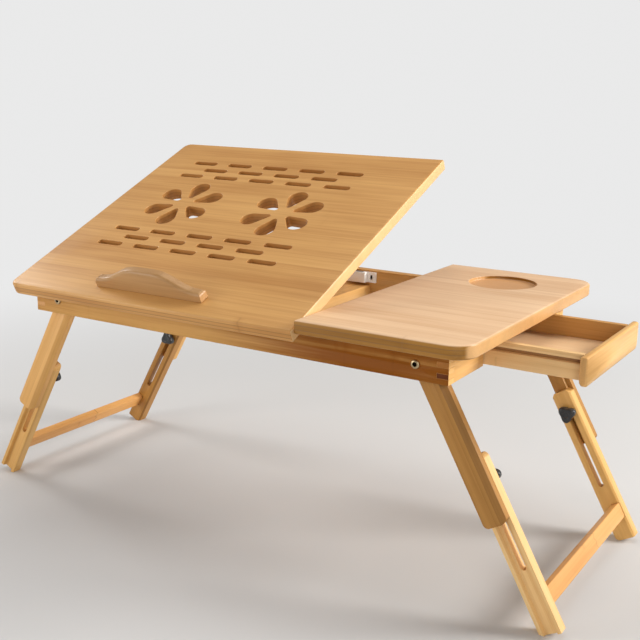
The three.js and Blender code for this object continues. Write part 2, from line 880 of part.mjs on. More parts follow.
function pivotBolt(inward) {
  const outside = -(railThickness + legSideGap);
  const flange = upperThickness + tongueDepth + seatGap;
  const profile = [
    [0, outside - pivotHeadHeight + socketDepth], [socketRadius, outside - pivotHeadHeight + socketDepth],
    [socketRadius, outside - pivotHeadHeight], [pivotHeadRadius, outside - pivotHeadHeight],
    [pivotHeadRadius, outside], [pivotRadius, outside], [pivotRadius, flange],
    [pivotHeadRadius, flange], [pivotHeadRadius, flange + pivotFlangeHeight],
    [0, flange + pivotFlangeHeight],
  ];
  return turned(profile, inward);
}

function insertNut(inward) {
  const start = upperThickness + tongueDepth - insertLength + seatGap;
  const end = upperThickness + tongueDepth - seatGap;
  const bore = studRadius + seatGap;
  const profile = [[bore, start], [insertRadius, start], [insertRadius, end], [bore, end], [bore, start]];
  return turned(profile, inward);
}

function knobStud(inward) {
  const start = upperThickness + tongueDepth - insertLength + 2 * seatGap;
  const end = upperThickness + lowerThickness + seatGap + knobCollarHeight + knobHeight / 2;
  return turned([[0, start], [studRadius, start], [studRadius, end], [0, end]], inward);
}

// Clamp knob: a round collar under a three-lobed grip
function knob(inward) {
  const start = upperThickness + lowerThickness + seatGap;
  const lip = start + knobCollarHeight;
  const points = [];
  for (let i = 0; i < knobSteps; i += 1) {
    const angle = (i * Math.PI * 2) / knobSteps;
    const radius = knobRadius + knobLobe * Math.cos(knobLobes * angle);
    points.push([radius * Math.cos(angle), radius * Math.sin(angle)]);
  }
  const gripNear = Math.min(inward * lip, inward * (lip + knobHeight));
  const grip = alongY(polygon(points), gripNear, gripNear + knobHeight, 8, knobEdge);
  const collar = yCylinder(0, 0, knobCollarRadius, inward * start, inward * (lip + knobEdge));
  const bore = yCylinder(0, 0, studRadius + seatGap, inward * (start - cutOverrun),
    inward * (lip + knobHeight / 2 + seatGap));
  return cut(join(grip, collar), bore);
}

function legSet(sideName, out) {
  const set = new THREE.Group();
  const rows = [['front', legFront, 1], ['back', legBack, -1]];
  for (const [rowName, y, inward] of rows) {
    const leg = new THREE.Group();
    leg.position.set(out * pivotX, y, pivotZ);
    leg.rotation.y = -out * splay;
    const label = `${sideName}_${rowName}`;
    const lower = named(`${label}_lower_leg`, lowerLeg(out, inward), legBamboo());
    lower.position.y = inward * upperThickness;
    const clamp = new THREE.Group();
    clamp.position.z = -studReach;
    clamp.add(
      named(`${label}_insert_nut`, insertNut(inward), brass()),
      named(`${label}_knob_stud`, knobStud(inward), steel()),
      named(`${label}_knob`, knob(inward), blackPlastic()),
    );
    leg.add(
      named(`${label}_upper_leg`, upperLeg(inward), legBamboo()),
      lower,
      named(`${label}_pivot_bolt`, pivotBolt(inward), steel()),
      clamp,
    );
    set.add(leg);
  }
  const bar = named(`${sideName}_crossbar`, crossbar(out), legBamboo());
  bar.position.set(out * pivotX, 0, pivotZ);
  bar.rotation.y = -out * splay;
  set.add(bar);
  return set;
}

// The panel and what is fixed to it are drawn flat and tilted about the hinge pins.
function tiltingTop() {
  const turn = new THREE.Group();
  turn.position.set(0, hingeY, hingeZ);
  turn.rotation.x = tilt;
  const flat = new THREE.Group();
  flat.position.set(0, -hingeY, -hingeZ);
  flat.add(
    named('tilt_panel', tiltPanel(), panelBamboo()),
    named('stop_bar', stopBar(), panelBamboo()),
    named('ratchet_left', ratchet(dowelLeft + runGap), railBamboo()),
    named('ratchet_right', ratchet(dowelReachRight - ratchetWidth - runGap), railBamboo()),
    named('strike_plate', strikePlate(), steel()),
  );
  hingePlaces.forEach((x, i) => {
    const side = i === 0 ? 'right' : 'left';
    const leaf = hingeLeaf(x, true, panelUnder - seatGap - leafThickness);
    flat.add(named(`hinge_${side}_panel_leaf`, leaf, steel()));
  });
  turn.add(flat);
  return turn;
}

function hingeFrameSide() {
  const fixed = new THREE.Group();
  hingePlaces.forEach((x, i) => {
    const side = i === 0 ? 'right' : 'left';
    fixed.add(
      named(`hinge_${side}_rail_leaf`, hingeLeaf(x, false, mortiseZ), steel()),
      named(`hinge_${side}_pin`, hingePin(x), steel()),
    );
  });
  return fixed;
}

const table = new THREE.Group();
table.position.y = -depthMiddle;
table.add(
  frame(),
  named('fixed_top', fixedTop(), boardBamboo()),
  named('drawer_runner_near', runner(-1), railBamboo()),
  named('drawer_runner_far', runner(1), railBamboo()),
  named('catch_body', catchBody(), whitePlastic()),
  named('catch_magnet', catchMagnet(), steel()),
  hingeFrameSide(),
  propMounts(),
  tiltingTop(),
  prop(),
  drawer(),
  legSet('left', -1),
  legSet('right', 1),
);

export default table;
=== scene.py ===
import bpy, bmesh, json, math
from mathutils import Matrix, Vector


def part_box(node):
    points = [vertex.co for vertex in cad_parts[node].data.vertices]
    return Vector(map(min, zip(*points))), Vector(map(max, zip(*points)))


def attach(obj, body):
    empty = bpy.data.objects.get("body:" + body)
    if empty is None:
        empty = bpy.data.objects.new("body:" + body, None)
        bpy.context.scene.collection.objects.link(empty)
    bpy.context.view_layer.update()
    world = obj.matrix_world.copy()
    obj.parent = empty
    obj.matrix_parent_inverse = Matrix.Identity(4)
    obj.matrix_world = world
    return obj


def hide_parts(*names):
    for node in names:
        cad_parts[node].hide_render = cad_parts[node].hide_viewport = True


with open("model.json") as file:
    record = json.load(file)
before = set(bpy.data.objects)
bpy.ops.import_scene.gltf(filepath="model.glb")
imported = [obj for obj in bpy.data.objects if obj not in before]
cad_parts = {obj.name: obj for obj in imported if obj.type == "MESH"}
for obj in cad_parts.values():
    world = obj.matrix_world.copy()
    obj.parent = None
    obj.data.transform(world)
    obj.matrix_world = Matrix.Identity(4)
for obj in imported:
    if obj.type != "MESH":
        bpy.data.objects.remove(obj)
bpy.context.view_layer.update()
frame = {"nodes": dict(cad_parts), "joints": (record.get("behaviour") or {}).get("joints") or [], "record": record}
jointNamed = {joint["name"]: joint for joint in frame["joints"]}
mm = 0.001
print("frame loaded:", len(frame["nodes"]), "nodes")


# Colours and nodes

def fromScreen(r, g, b):
    # a colour read on a screen (0 to 255) as the linear colour that Blender wants
    def one(v):
        v /= 255.0
        return v / 12.92 if v <= 0.04045 else ((v + 0.055) / 1.055) ** 2.4
    return (one(r), one(g), one(b), 1.0)


def darker(colour, share):
    return fromScreen(*[v * share for v in colour])


class Wiring:
    # a short way to add nodes and join them up
    def __init__(self, name):
        self.material = bpy.data.materials.new(name)
        self.material.use_nodes = True
        self.tree = self.material.node_tree
        self.shader = self.tree.nodes["Principled BSDF"]

    def feed(self, socket, value):
        if isinstance(value, bpy.types.NodeSocket):
            self.tree.links.new(value, socket)
        else:
            socket.default_value = value

    def add(self, kind, settings, *values, **named):
        node = self.tree.nodes.new("ShaderNode" + kind)
        for key, value in settings.items():
            setattr(node, key, value)
        for socket, value in zip(node.inputs, values):
            self.feed(socket, value)
        for key, value in named.items():
            self.feed(node.inputs[key], value)
        return node

    def math(self, operation, a, b=0.0):
        return self.add("Math", {"operation": operation}, a, b).outputs[0]

    def times(self, a, b):
        return self.math("MULTIPLY", a, b)

    def plus(self, a, b):
        return self.math("ADD", a, b)

    def minus(self, a, b):
        return self.math("SUBTRACT", a, b)

    def size(self, a):
        return self.math("ABSOLUTE", a)

    def sway(self, total, value, amount):
        # adds a value that runs from 0 to 1 so that its middle changes nothing
        return self.plus(total, self.times(self.minus(value, 0.5), amount))

    def vector(self, x, y, z):
        return self.add("CombineXYZ", {}, x, y, z).outputs[0]

    def blend(self, factor, a, b):
        node = self.add("Mix", {"data_type": "RGBA"})
        self.feed(node.inputs[0], factor)
        self.feed(node.inputs[6], a)
        self.feed(node.inputs[7], b)
        return node.outputs[2]

    def ramp(self, value, low, high, start=0.0, end=1.0):
        smooth = {"interpolation_type": "SMOOTHSTEP"}
        return self.add("MapRange", smooth, value, low, high, start, end).outputs[0]

    def noise(self, vector, scale, detail=2.0, rough=0.5):
        node = self.add("TexNoise", {}, Vector=vector, Scale=scale, Detail=detail, Roughness=rough)
        return node.outputs[0]

    def speckle(self, w):
        return self.add("TexWhiteNoise", {"noise_dimensions": "1D"}, W=w).outputs[0]

    def bump(self, height, strength, distance):
        node = self.add("Bump", {}, Strength=strength, Distance=distance, Height=height)
        self.feed(self.shader.inputs["Normal"], node.outputs[0])


def placed(name, data):
    made = bpy.data.objects.new(name, data)
    bpy.context.scene.collection.objects.link(made)
    return made


# Studio: camera, lamps, room and floor

studio = {
    "cameraAt": (627.64, -950.98, 506.62),  # millimetres, fitted to the outlines of both boards
    "yaw": 32.02, "pitch": 13.80, "roll": 0.72,  # degrees
    "focalPixels": 1020.7, "framePixels": 640.0, "sensorWidth": 36.0,
    "floorHalf": 30.0, "floorTone": 0.62, "floorRoughness": 0.9, "floorShine": 0.1,
    "floorFade": (0.45, 1.4),  # metres from the middle of the table
    "backTone": 0.82, "skyColour": (1.0, 0.99, 0.975, 1.0), "skyStrength": 0.25,
    "lamps": {
        # name: (place, aims at, size, watts, tint)
        "keyRight": ((1.95, 1.0, 1.2), (0.1, 0.0, 0.25), 1.0, 55.0, (1.0, 0.97, 0.93)),
        "windowLeft": ((-2.1, 0.15, 1.35), (-0.1, 0.0, 0.3), 0.9, 17.0, (1.0, 0.98, 0.96)),
        "overhead": ((0.0, 0.2, 2.2), (0.0, 0.0, 0.3), 1.6, 13.0, (1.0, 0.99, 0.98)),
        "fillLeft": ((-0.85, -1.0, 0.4), (-0.25, -0.15, 0.2), 0.6, 5.5, (1.0, 0.96, 0.92)),
        "fillRight": ((1.3, -1.5, 0.7), (0.1, 0.0, 0.25), 0.8, 7.0, (1.0, 0.97, 0.93)),
    },
}


def makeCamera():
    yaw, pitch, roll = (math.radians(studio[k]) for k in ("yaw", "pitch", "roll"))
    reach = math.cos(pitch)
    forward = Vector((-math.sin(yaw) * reach, math.cos(yaw) * reach, -math.sin(pitch)))
    flat = Vector((math.cos(yaw), math.sin(yaw), 0.0))
    level = flat.cross(forward)
    right = flat * math.cos(roll) + level * math.sin(roll)
    up = level * math.cos(roll) - flat * math.sin(roll)
    data = bpy.data.cameras.new("camera")
    data.sensor_width = studio["sensorWidth"]
    data.lens = studio["focalPixels"] * data.sensor_width / studio["framePixels"]
    camera = placed("camera", data)
    turn = Matrix((right, up, -forward)).transposed().to_4x4()
    camera.matrix_world = Matrix.Translation(Vector(studio["cameraAt"]) * mm) @ turn
    bpy.context.scene.camera = camera


def makeLamps():
    for name, (place, target, size, watts, tint) in studio["lamps"].items():
        data = bpy.data.lights.new(name, "AREA")
        data.shape = "DISK"
        data.size = size
        data.energy = watts
        data.color = tint
        lamp = placed(name, data)
        lamp.location = place
        lamp.rotation_euler = (Vector(target) - Vector(place)).to_track_quat("-Z", "Y").to_euler()
        lamp.visible_camera = False


def grey(tone):
    return (tone, tone, tone, 1.0)


def seenDirectly(tree):
    # 1 where the camera sees it, straight or through clear glass, and 0 for soft light
    path = tree.nodes.new("ShaderNodeLightPath")
    either = tree.nodes.new("ShaderNodeMath")
    either.operation = "MAXIMUM"
    tree.links.new(path.outputs["Is Camera Ray"], either.inputs[0])
    tree.links.new(path.outputs["Is Transmission Ray"], either.inputs[1])
    return either.outputs[0]


def makeWorld():
    world = bpy.data.worlds.new("softRoom")
    bpy.context.scene.world = world
    world.use_nodes = True
    tree = world.node_tree
    light = tree.nodes["Background"]
    light.inputs["Color"].default_value = studio["skyColour"]
    light.inputs["Strength"].default_value = studio["skyStrength"]
    wall = tree.nodes.new("ShaderNodeBackground")
    wall.inputs["Color"].default_value = grey(studio["backTone"])
    mix = tree.nodes.new("ShaderNodeMixShader")
    tree.links.new(seenDirectly(tree), mix.inputs[0])
    tree.links.new(light.outputs[0], mix.inputs[1])
    tree.links.new(wall.outputs[0], mix.inputs[2])
    tree.links.new(mix.outputs[0], tree.nodes["World Output"].inputs["Surface"])


def makeFloor():
    half = studio["floorHalf"]
    corners = [(-half, -half, 0), (half, -half, 0), (half, half, 0), (-half, half, 0)]
    mesh = bpy.data.meshes.new("floor")
    mesh.from_pydata(corners, [], [(0, 1, 2, 3)])
    floor = placed("floor", mesh)
    w = Wiring("palePaint")
    w.shader.inputs["Base Color"].default_value = grey(studio["floorTone"])
    w.shader.inputs["Roughness"].default_value = studio["floorRoughness"]
    w.shader.inputs["Specular IOR Level"].default_value = studio["floorShine"]
    # far from the table the floor passes into the wall's tone, so that no horizon shows
    wall = w.add("Emission", {}, grey(studio["backTone"]))
    place = w.add("TexCoord", {}).outputs["Object"]
    away = w.add("VectorMath", {"operation": "LENGTH"}, place).outputs["Value"]
    share = w.times(w.ramp(away, *studio["floorFade"]), seenDirectly(w.tree))
    mix = w.add("MixShader", {}, share, w.shader.outputs[0], wall.outputs[0])
    w.tree.links.new(mix.outputs[0], w.tree.nodes["Material Output"].inputs["Surface"])
    mesh.materials.append(w.material)


makeCamera()
makeLamps()
makeWorld()
makeFloor()
bpy.context.scene.view_settings.view_transform = "Standard"
print("studio ready")


# Materials

# Bamboo is glued up from long strips with fine fibres along them. Every hand's length or two a strip
# has a knuckle, on most strips hardly to be seen. Local X runs with the grain, Y across the strips
# and Z through the thickness, in metres. Colours are as read on a screen.
bambooLooks = {
    "boardBamboo": {
        "pale": (243, 206, 166), "deep": (219, 174, 130), "end": (226, 176, 116), "strip": 0.0195,
        # darker colours for the side faces, partly the cut edge's own tone and partly painted shade
        "side": ((180, 128, 54), (142, 94, 24)), "recess": 0.0124, "hollow": (206, 150, 94),
        "middlePly": 0.22,
    },
    "panelBamboo": {
        "pale": (220, 168, 100), "deep": (186, 130, 66), "end": (250, 208, 148), "strip": 0.0195,
        # painted shade on the walls of the vents
        "vents": ((-0.30, -0.01), (0.05, 0.31)), "hollow": (160, 104, 48), "middlePly": 0.22,
    },
    "stopBamboo": {"pale": (194, 150, 98), "deep": (164, 120, 72), "end": (214, 166, 112), "strip": 0.0140},
    "railBamboo": {"pale": (216, 164, 96), "deep": (178, 122, 58), "end": (214, 158, 92), "strip": 0.0155},
    "frontRailBamboo": {
        "pale": (208, 160, 92), "deep": (142, 80, 10), "end": (240, 190, 120), "strip": 0.0155,
        # painted shade: the face darkens towards its right end
        "browner": (-0.04, 0.18, 0.55), "knots": (0.156, 0.208), "lacquer": 0.0,
    },
    "endRailBamboo": {
        "pale": (236, 184, 112), "deep": (206, 150, 82), "end": (176, 116, 54), "strip": 0.0155,
        "endMarks": ((0.0079, 0.94), (0.0289, 0.10)), "lacquer": 0.04,
    },
    "upperLegBamboo": {"pale": (236, 184, 112), "deep": (204, 148, 76), "end": (206, 150, 84),
                       "strip": 0.0110},
    # painted shade: a darker copy of the leg bamboo, for the legs whose faces lie in shade
    "darkLegBamboo": {
        "pale": (188, 136, 66), "deep": (150, 100, 38), "end": (186, 130, 64), "strip": 0.0110,
        # painted shade on the slanted faces along the edges
        "slantShade": 0.55,
    },
    # painted light: a paler copy of the leg bamboo, for the leg whose face is lit near the floor
    "paleLegBamboo": {"pale": (248, 208, 146), "deep": (224, 176, 108), "end": (216, 166, 96),
                      "strip": 0.0110},
    "lowerLegBamboo": {"pale": (234, 188, 116), "deep": (204, 152, 78), "end": (208, 156, 86),
                       "strip": 0.0110},
    "barBamboo": {
        "pale": (236, 180, 110), "deep": (212, 148, 78), "end": (206, 142, 80), "strip": 0.0085,
        "seam": 0.022,
    },
    "drawerBamboo": {
        "pale": (252, 212, 154), "deep": (224, 176, 114), "end": (214, 160, 96), "strip": 0.0125,
        # painted shade on the floor of the runner groove
        "recess": 0.0020, "hollow": (134, 86, 38),
    },
    "drawerFrontBamboo": {
        "pale": (240, 192, 122), "deep": (208, 152, 84), "end": (226, 172, 104), "strip": 0.0290,
        "blotch": 0.9,
    },
    "floorBamboo": {"pale": (250, 212, 166), "deep": (230, 188, 140), "end": (200, 150, 104),
                    "strip": 0.0200},
}
bambooHabits = {
    # what holds where a look says nothing else
    "browner": None, "knots": (), "seam": None, "endMarks": (), "middlePly": 0.0, "side": None,
    "vents": None, "recess": None, "hollow": None, "slantShade": 0.0, "lacquer": 0.2, "blotch": 0.45,
}
bamboo = {
    # layers of tone: (scale along the grain, scale across it, detail, roughness)
    "layers": {
        "band": (1.6, 17.0, 1.0, 0.5), "wave": (4.2, 95.0, 3.0, 0.55), "streak": (7.0, 300.0, 3.0, 0.6),
        "fibre": (14.0, 1250.0, 3.0, 0.6), "blotch": (9.0, 26.0, 1.0, 0.5),
    },
    "brokenLayers": ("wave", "streak"), "stripShift": 6.0,
    # how deep the tone lies from pale (0) to deep (1), and how far each layer moves it
    "depth": 0.46, "stripTone": 0.26, "haloTone": 0.14, "paintedShadeStart": -0.25,
    "layerTones": {"band": 0.75, "wave": 0.85, "streak": 0.55, "fibre": 0.30},
    # lines on the wood, with ramps as (low, high, start, end)
    "knuckleEvery": 0.31, "knuckleShift": 7.0, "knuckleWander": 0.004, "knuckleSeed": 31.7,
    "plainKnuckles": (0.45, 1.0, 0.10, 1.0), "knuckleLine": (0.0003, 0.0016, 1.0, 0.0),
    "knuckleHalo": (0.0, 0.009, 1.0, 0.0), "knotWander": 0.006, "plainKnots": (0.010, 0.014, 0.55, 0.0),
    "glueLine": (0.00005, 0.00030, 1.0, 0.0), "knuckleShown": 0.17, "glueShown": 0.16,
    "seamFinger": 0.004, "seamSlope": 0.8, "seamStep": (-0.0004, 0.0004, 0.0, 0.30),
    "seamLine": (0.0003, 0.0008, 0.55, 0.0),
    # the three layers of a board's edge, and faces that look another way
    "ply": (0.0047, 0.0093), "plySoft": 0.0002, "plyLine": (0.0001, 0.0007, 0.42, 0.0),
    "sideways": (0.3, 0.8), "upwards": (0.4, 0.8), "endwards": (0.72, 0.86),
    "slantFrom": (0.3, 0.5), "slantTo": (0.85, 0.95), "offWall": (0.1, 0.3, 1.0, 0.0),
    "wallShadeShown": 0.42, "recessSoft": 0.0006, "recessShadeShown": 0.8,
    # share of the deep colour that stays in each dark mark, and in the painted shade on slanted faces
    "shades": {"ply": 0.5, "slant": 0.72, "knuckle": 0.66, "glue": 0.74, "seam": 0.7},
    # end grain
    "bundleScale": 1350.0, "bundleSpread": 0.85, "bundle": (0.14, 0.40, 1.0, 0.0), "bundleShown": 0.28,
    "mottleWave": 0.5, "mottle": (0.45, 1.05), "mottleShown": 0.5, "endShades": (0.84, 0.62),
    "endMark": (0.0019, 0.0026), "endMarkColour": (96, 44, 12),
    # surface
    "rough": 0.36, "roughSpread": 0.2, "fibreRise": 0.5, "lineSunk": 0.25, "bump": (0.14, 0.0004),
    "shine": (0.15, 0.75), "coatRoughness": 0.26,
}


def grainLayers(w, x, broken, y, z):
    # from broad bands to fine fibres, all drawn out along the grain
    made = {}
    for name, (along, across, detail, rough) in bamboo["layers"].items():
        start = broken if name in bamboo["brokenLayers"] else x
        at = w.vector(w.times(start, along), w.times(y, across), w.times(z, across))
        made[name] = w.noise(at, 1.0, detail, rough)
    return made


def knuckles(w, look, x, stripAt, tone, wave):
    # at another place on each strip and plain on few of them, with one more at each of a look's knots
    every = bamboo["knuckleEvery"]
    wandering = w.math("DIVIDE", w.plus(x, w.times(wave, bamboo["knuckleWander"])), every)
    along = w.math("FRACT", w.plus(wandering, w.times(tone, bamboo["knuckleShift"])))
    fromKnuckle = w.times(w.size(w.minus(along, 0.5)), every)
    seed = w.plus(w.math("FLOOR", stripAt), bamboo["knuckleSeed"])
    plain = w.ramp(w.speckle(seed), *bamboo["plainKnuckles"])
    for spot in look["knots"]:
        offKnot = w.size(w.minus(w.plus(x, w.times(wave, bamboo["knotWander"])), spot))
        fromKnuckle = w.math("MINIMUM", fromKnuckle, offKnot)
        plain = w.math("MAXIMUM", plain, w.ramp(offKnot, *bamboo["plainKnots"]))
    line = w.times(w.ramp(fromKnuckle, *bamboo["knuckleLine"]), plain)
    halo = w.times(w.ramp(fromKnuckle, *bamboo["knuckleHalo"]), plain)
    return line, halo


def toneDepth(w, look, x, tone, layers, halo):
    depth = w.sway(bamboo["depth"], tone, bamboo["stripTone"])
    for name, amount in bamboo["layerTones"].items():
        depth = w.sway(depth, layers[name], amount)
    depth = w.sway(depth, layers["blotch"], look["blotch"])
    depth = w.plus(depth, w.times(halo, bamboo["haloTone"]))
    # painted shade: the face grows darker towards the right end along the grain
    if look["browner"]:
        start, end, amount = look["browner"]
        depth = w.plus(depth, w.ramp(x, start, end, bamboo["paintedShadeStart"] * amount, amount))
    return depth


def plyLayers(w, z):
    # a board's edge shows three layers, with the grain of the middle one lying across
    low, high = bamboo["ply"]
    soft = bamboo["plySoft"]
    inPly = w.times(w.ramp(z, low - soft, low + soft), w.ramp(z, high - soft, high + soft, 1.0, 0.0))
    fromPly = w.math("MINIMUM", w.size(w.minus(z, low)), w.size(w.minus(z, high)))
    return inPly, w.ramp(fromPly, *bamboo["plyLine"])


def endGrain(w, look, y, z, layers):
    # small dark fibre bundles on the faces that cut the strips
    dots = w.add("TexVoronoi", {}, Vector=w.vector(0.0, y, z), Scale=bamboo["bundleScale"],
                 Randomness=bamboo["bundleSpread"]).outputs[0]
    speck = w.times(w.ramp(dots, *bamboo["bundle"]), bamboo["bundleShown"])
    mottle = w.plus(layers["blotch"], w.times(layers["wave"], bamboo["mottleWave"]))
    mottle = w.times(w.ramp(mottle, *bamboo["mottle"]), bamboo["mottleShown"])
    duller, darkest = (darker(look["end"], share) for share in bamboo["endShades"])
    cut = w.blend(speck, w.blend(mottle, fromScreen(*look["end"]), duller), darkest)
    for middle, strength in look["endMarks"]:
        mark = w.ramp(w.size(w.minus(y, middle)), *bamboo["endMark"], strength, 0.0)
        cut = w.blend(mark, cut, fromScreen(*bamboo["endMarkColour"]))
    return cut


def bambooMaterial(name, look):
    look = {**bambooHabits, **look}
    pale, deep = fromScreen(*look["pale"]), fromScreen(*look["deep"])
    shade = {mark: darker(look["deep"], share) for mark, share in bamboo["shades"].items()}
    w = Wiring(name)
    place = w.add("TexCoord", {})
    x, y, z = w.add("SeparateXYZ", {}, place.outputs["Object"]).outputs
    facing = w.add("SeparateXYZ", {}, place.outputs["Normal"]).outputs
    stripAt = w.math("DIVIDE", y, look["strip"])
    tone = w.speckle(w.math("FLOOR", stripAt))
    layers = grainLayers(w, x, w.plus(x, w.times(tone, bamboo["stripShift"])), y, z)
    line, halo = knuckles(w, look, x, stripAt, tone, layers["wave"])
    offMiddle = w.size(w.minus(w.math("FRACT", stripAt), 0.5))
    glue = w.ramp(w.times(w.minus(0.5, offMiddle), look["strip"]), *bamboo["glueLine"])
    depth = toneDepth(w, look, x, tone, layers, halo)
    if look["middlePly"]:
        inPly, plyLine = plyLayers(w, z)
        depth = w.plus(depth, w.times(inPly, look["middlePly"]))
    depth = w.ramp(depth, 0.0, 1.0)
    body = w.blend(depth, pale, deep)
    # the side faces take darker colours, partly the cut edge's own tone and partly painted shade
    if look["side"]:
        flank = w.blend(depth, *(fromScreen(*colour) for colour in look["side"]))
        body = w.blend(w.ramp(facing[2], *bamboo["sideways"], 1.0, 0.0), body, flank)
    if look["middlePly"]:
        body = w.blend(plyLine, body, shade["ply"])
    if look["vents"]:
        # painted shade: the walls of the vents are painted more brown than the edges
        wall = w.ramp(w.size(facing[2]), *bamboo["sideways"], bamboo["wallShadeShown"], 0.0)
        for at, (start, end) in zip((x, y), look["vents"]):
            wall = w.times(wall, w.math("GREATER_THAN", at, start))
            wall = w.times(wall, w.math("LESS_THAN", at, end))
        body = w.blend(wall, body, fromScreen(*look["hollow"]))
    if look["recess"]:
        # painted shade: the floor of a recess or groove is painted duller and more brown than the face round it
        floor = look["recess"]
        recessShade = w.ramp(z, floor, floor + bamboo["recessSoft"], bamboo["recessShadeShown"], 0.0)
        recessShade = w.times(recessShade, w.ramp(facing[2], *bamboo["upwards"]))
        body = w.blend(recessShade, body, fromScreen(*look["hollow"]))
    if look["slantShade"]:
        # painted shade: the slanted faces along the edges are painted darker and more brown
        slant = w.size(facing[1])
        slant = w.times(w.ramp(slant, *bamboo["slantFrom"]),
                        w.ramp(slant, *bamboo["slantTo"], look["slantShade"], 0.0))
        body = w.blend(slant, body, shade["slant"])
    body = w.blend(w.times(line, bamboo["knuckleShown"]), body, shade["knuckle"])
    body = w.blend(w.times(glue, bamboo["glueShown"]), body, shade["glue"])
    if look["seam"]:
        # two lengths of stock meet here, finger to finger
        zigzag = w.times(w.math("PINGPONG", w.plus(y, 0.5), bamboo["seamFinger"]), bamboo["seamSlope"])
        offSeam = w.minus(w.plus(x, zigzag), look["seam"])
        body = w.blend(w.ramp(offSeam, *bamboo["seamStep"]), body, pale)
        body = w.blend(w.ramp(w.size(offSeam), *bamboo["seamLine"]), body, shade["seam"])
    isEnd = w.ramp(w.size(facing[0]), *bamboo["endwards"])
    if look["vents"]:
        isEnd = w.times(isEnd, w.ramp(wall, *bamboo["offWall"]))
    w.feed(w.shader.inputs["Base Color"], w.blend(isEnd, body, endGrain(w, look, y, z, layers)))
    roughness = w.plus(bamboo["rough"], w.times(layers["streak"], bamboo["roughSpread"]))
    w.feed(w.shader.inputs["Roughness"], roughness)
    sunk = w.times(w.math("MAXIMUM", glue, line), bamboo["lineSunk"])
    w.bump(w.minus(w.times(layers["fibre"], bamboo["fibreRise"]), sunk), *bamboo["bump"])
    least, rise = bamboo["shine"]
    w.shader.inputs["Specular IOR Level"].default_value = least + rise * look["lacquer"]
    w.shader.inputs["Coat Weight"].default_value = look["lacquer"]  # clear and satin
    w.shader.inputs["Coat Roughness"].default_value = bamboo["coatRoughness"]
    return w.material


socketRadius = 2.2  # millimetres, of the pivot bolts' hexagon sockets
steelLooks = {
    # lines is how finely the drawn lines lie along X, Y and Z
    "zincSteel": {"pale": (214, 212, 206), "deep": (178, 176, 172), "rough": 0.24,
                  "lines": (300.0, 40.0, 40.0)},
    "yellowZinc": {"pale": (214, 194, 156), "deep": (168, 142, 102), "rough": 0.26,
                   "lines": (200.0, 200.0, 200.0), "socket": socketRadius * mm},
    "darkScrew": {"pale": (96, 92, 86), "deep": (60, 56, 52), "rough": 0.34,
                  "lines": (200.0, 200.0, 200.0)},
    "threadedSteel": {"pale": (206, 206, 204), "deep": (164, 164, 166), "rough": 0.26,
                      "lines": (40.0, 300.0, 40.0), "threadPitch": 0.0008},
    "turnedBrass": {"pale": (204, 168, 92), "deep": (160, 122, 56), "rough": 0.30,
                    "lines": (300.0, 300.0, 60.0)},
}
steel = {
    "lineDetail": (3.0, 0.6), "cloudScale": 90.0, "cloudShown": 0.9, "roughSpread": 0.16,
    "bump": (0.08, 0.0002), "threadBump": (0.5, 0.0004),
    "groove": (0.1, 0.5, 0.55, 0.0), "grooveShade": 0.35,
    "socketSoft": (-0.0001, 0.0003), "grease": (26, 20, 14),
}
plasticLooks = {
    "blackKnob": {"pale": (44, 47, 50), "deep": (24, 26, 28), "rough": 0.30, "grain": 900.0, "coat": 0.35},
    "whiteCatch": {"pale": (252, 251, 249), "deep": (246, 244, 241), "rough": 0.38, "grain": 1400.0,
                   "coat": 0.1},
}
plastic = {"grainDetail": (3.0, 0.6), "smearScale": 60.0, "roughSpread": 0.12, "bump": (0.12, 0.0002),
           "coatRoughness": 0.15}


def steelMaterial(name, look):
    w = Wiring(name)
    at = w.add("TexCoord", {}).outputs["Object"]
    drawn = w.add("Mapping", {}, Vector=at, Scale=look["lines"]).outputs[0]
    lines = w.noise(drawn, 1.0, *steel["lineDetail"])
    cloud = w.times(w.noise(at, steel["cloudScale"]), steel["cloudShown"])
    colour = w.blend(cloud, fromScreen(*look["pale"]), fromScreen(*look["deep"]))
    height, bump = lines, steel["bump"]
    if "threadPitch" in look:
        half = look["threadPitch"] / 2
        along = w.add("SeparateXYZ", {}, at).outputs[1]
        height = w.math("DIVIDE", w.math("PINGPONG", along, half), half)
        bump = steel["threadBump"]
        # painted shade in the grooves of the thread
        groove = darker(look["deep"], steel["grooveShade"])
        colour = w.blend(w.ramp(height, *steel["groove"]), colour, groove)
    if "socket" in look:
        # painted shade: the hexagon socket about local Y is painted black inside
        parts = w.add("SeparateXYZ", {}, at).outputs
        across = w.vector(parts[0], 0.0, parts[2])
        offAxis = w.add("VectorMath", {"operation": "LENGTH"}, across).outputs[1]
        inner, outer = (look["socket"] + v for v in steel["socketSoft"])
        colour = w.blend(w.ramp(offAxis, inner, outer, 1.0, 0.0), colour, fromScreen(*steel["grease"]))
    w.feed(w.shader.inputs["Base Color"], colour)
    w.feed(w.shader.inputs["Roughness"], w.plus(look["rough"], w.times(lines, steel["roughSpread"])))
    w.bump(height, *bump)
    w.shader.inputs["Metallic"].default_value = 1.0
    return w.material


def plasticMaterial(name, look):
    w = Wiring(name)
    at = w.add("TexCoord", {}).outputs["Object"]
    grain = w.noise(at, look["grain"], *plastic["grainDetail"])
    smear = w.noise(at, plastic["smearScale"])
    colour = w.blend(smear, fromScreen(*look["pale"]), fromScreen(*look["deep"]))
    w.feed(w.shader.inputs["Base Color"], colour)
    w.feed(w.shader.inputs["Roughness"], w.plus(look["rough"], w.times(smear, plastic["roughSpread"])))
    w.bump(grain, *plastic["bump"])
    w.shader.inputs["Coat Weight"].default_value = look["coat"]
    w.shader.inputs["Coat Roughness"].default_value = plastic["coatRoughness"]
    return w.material


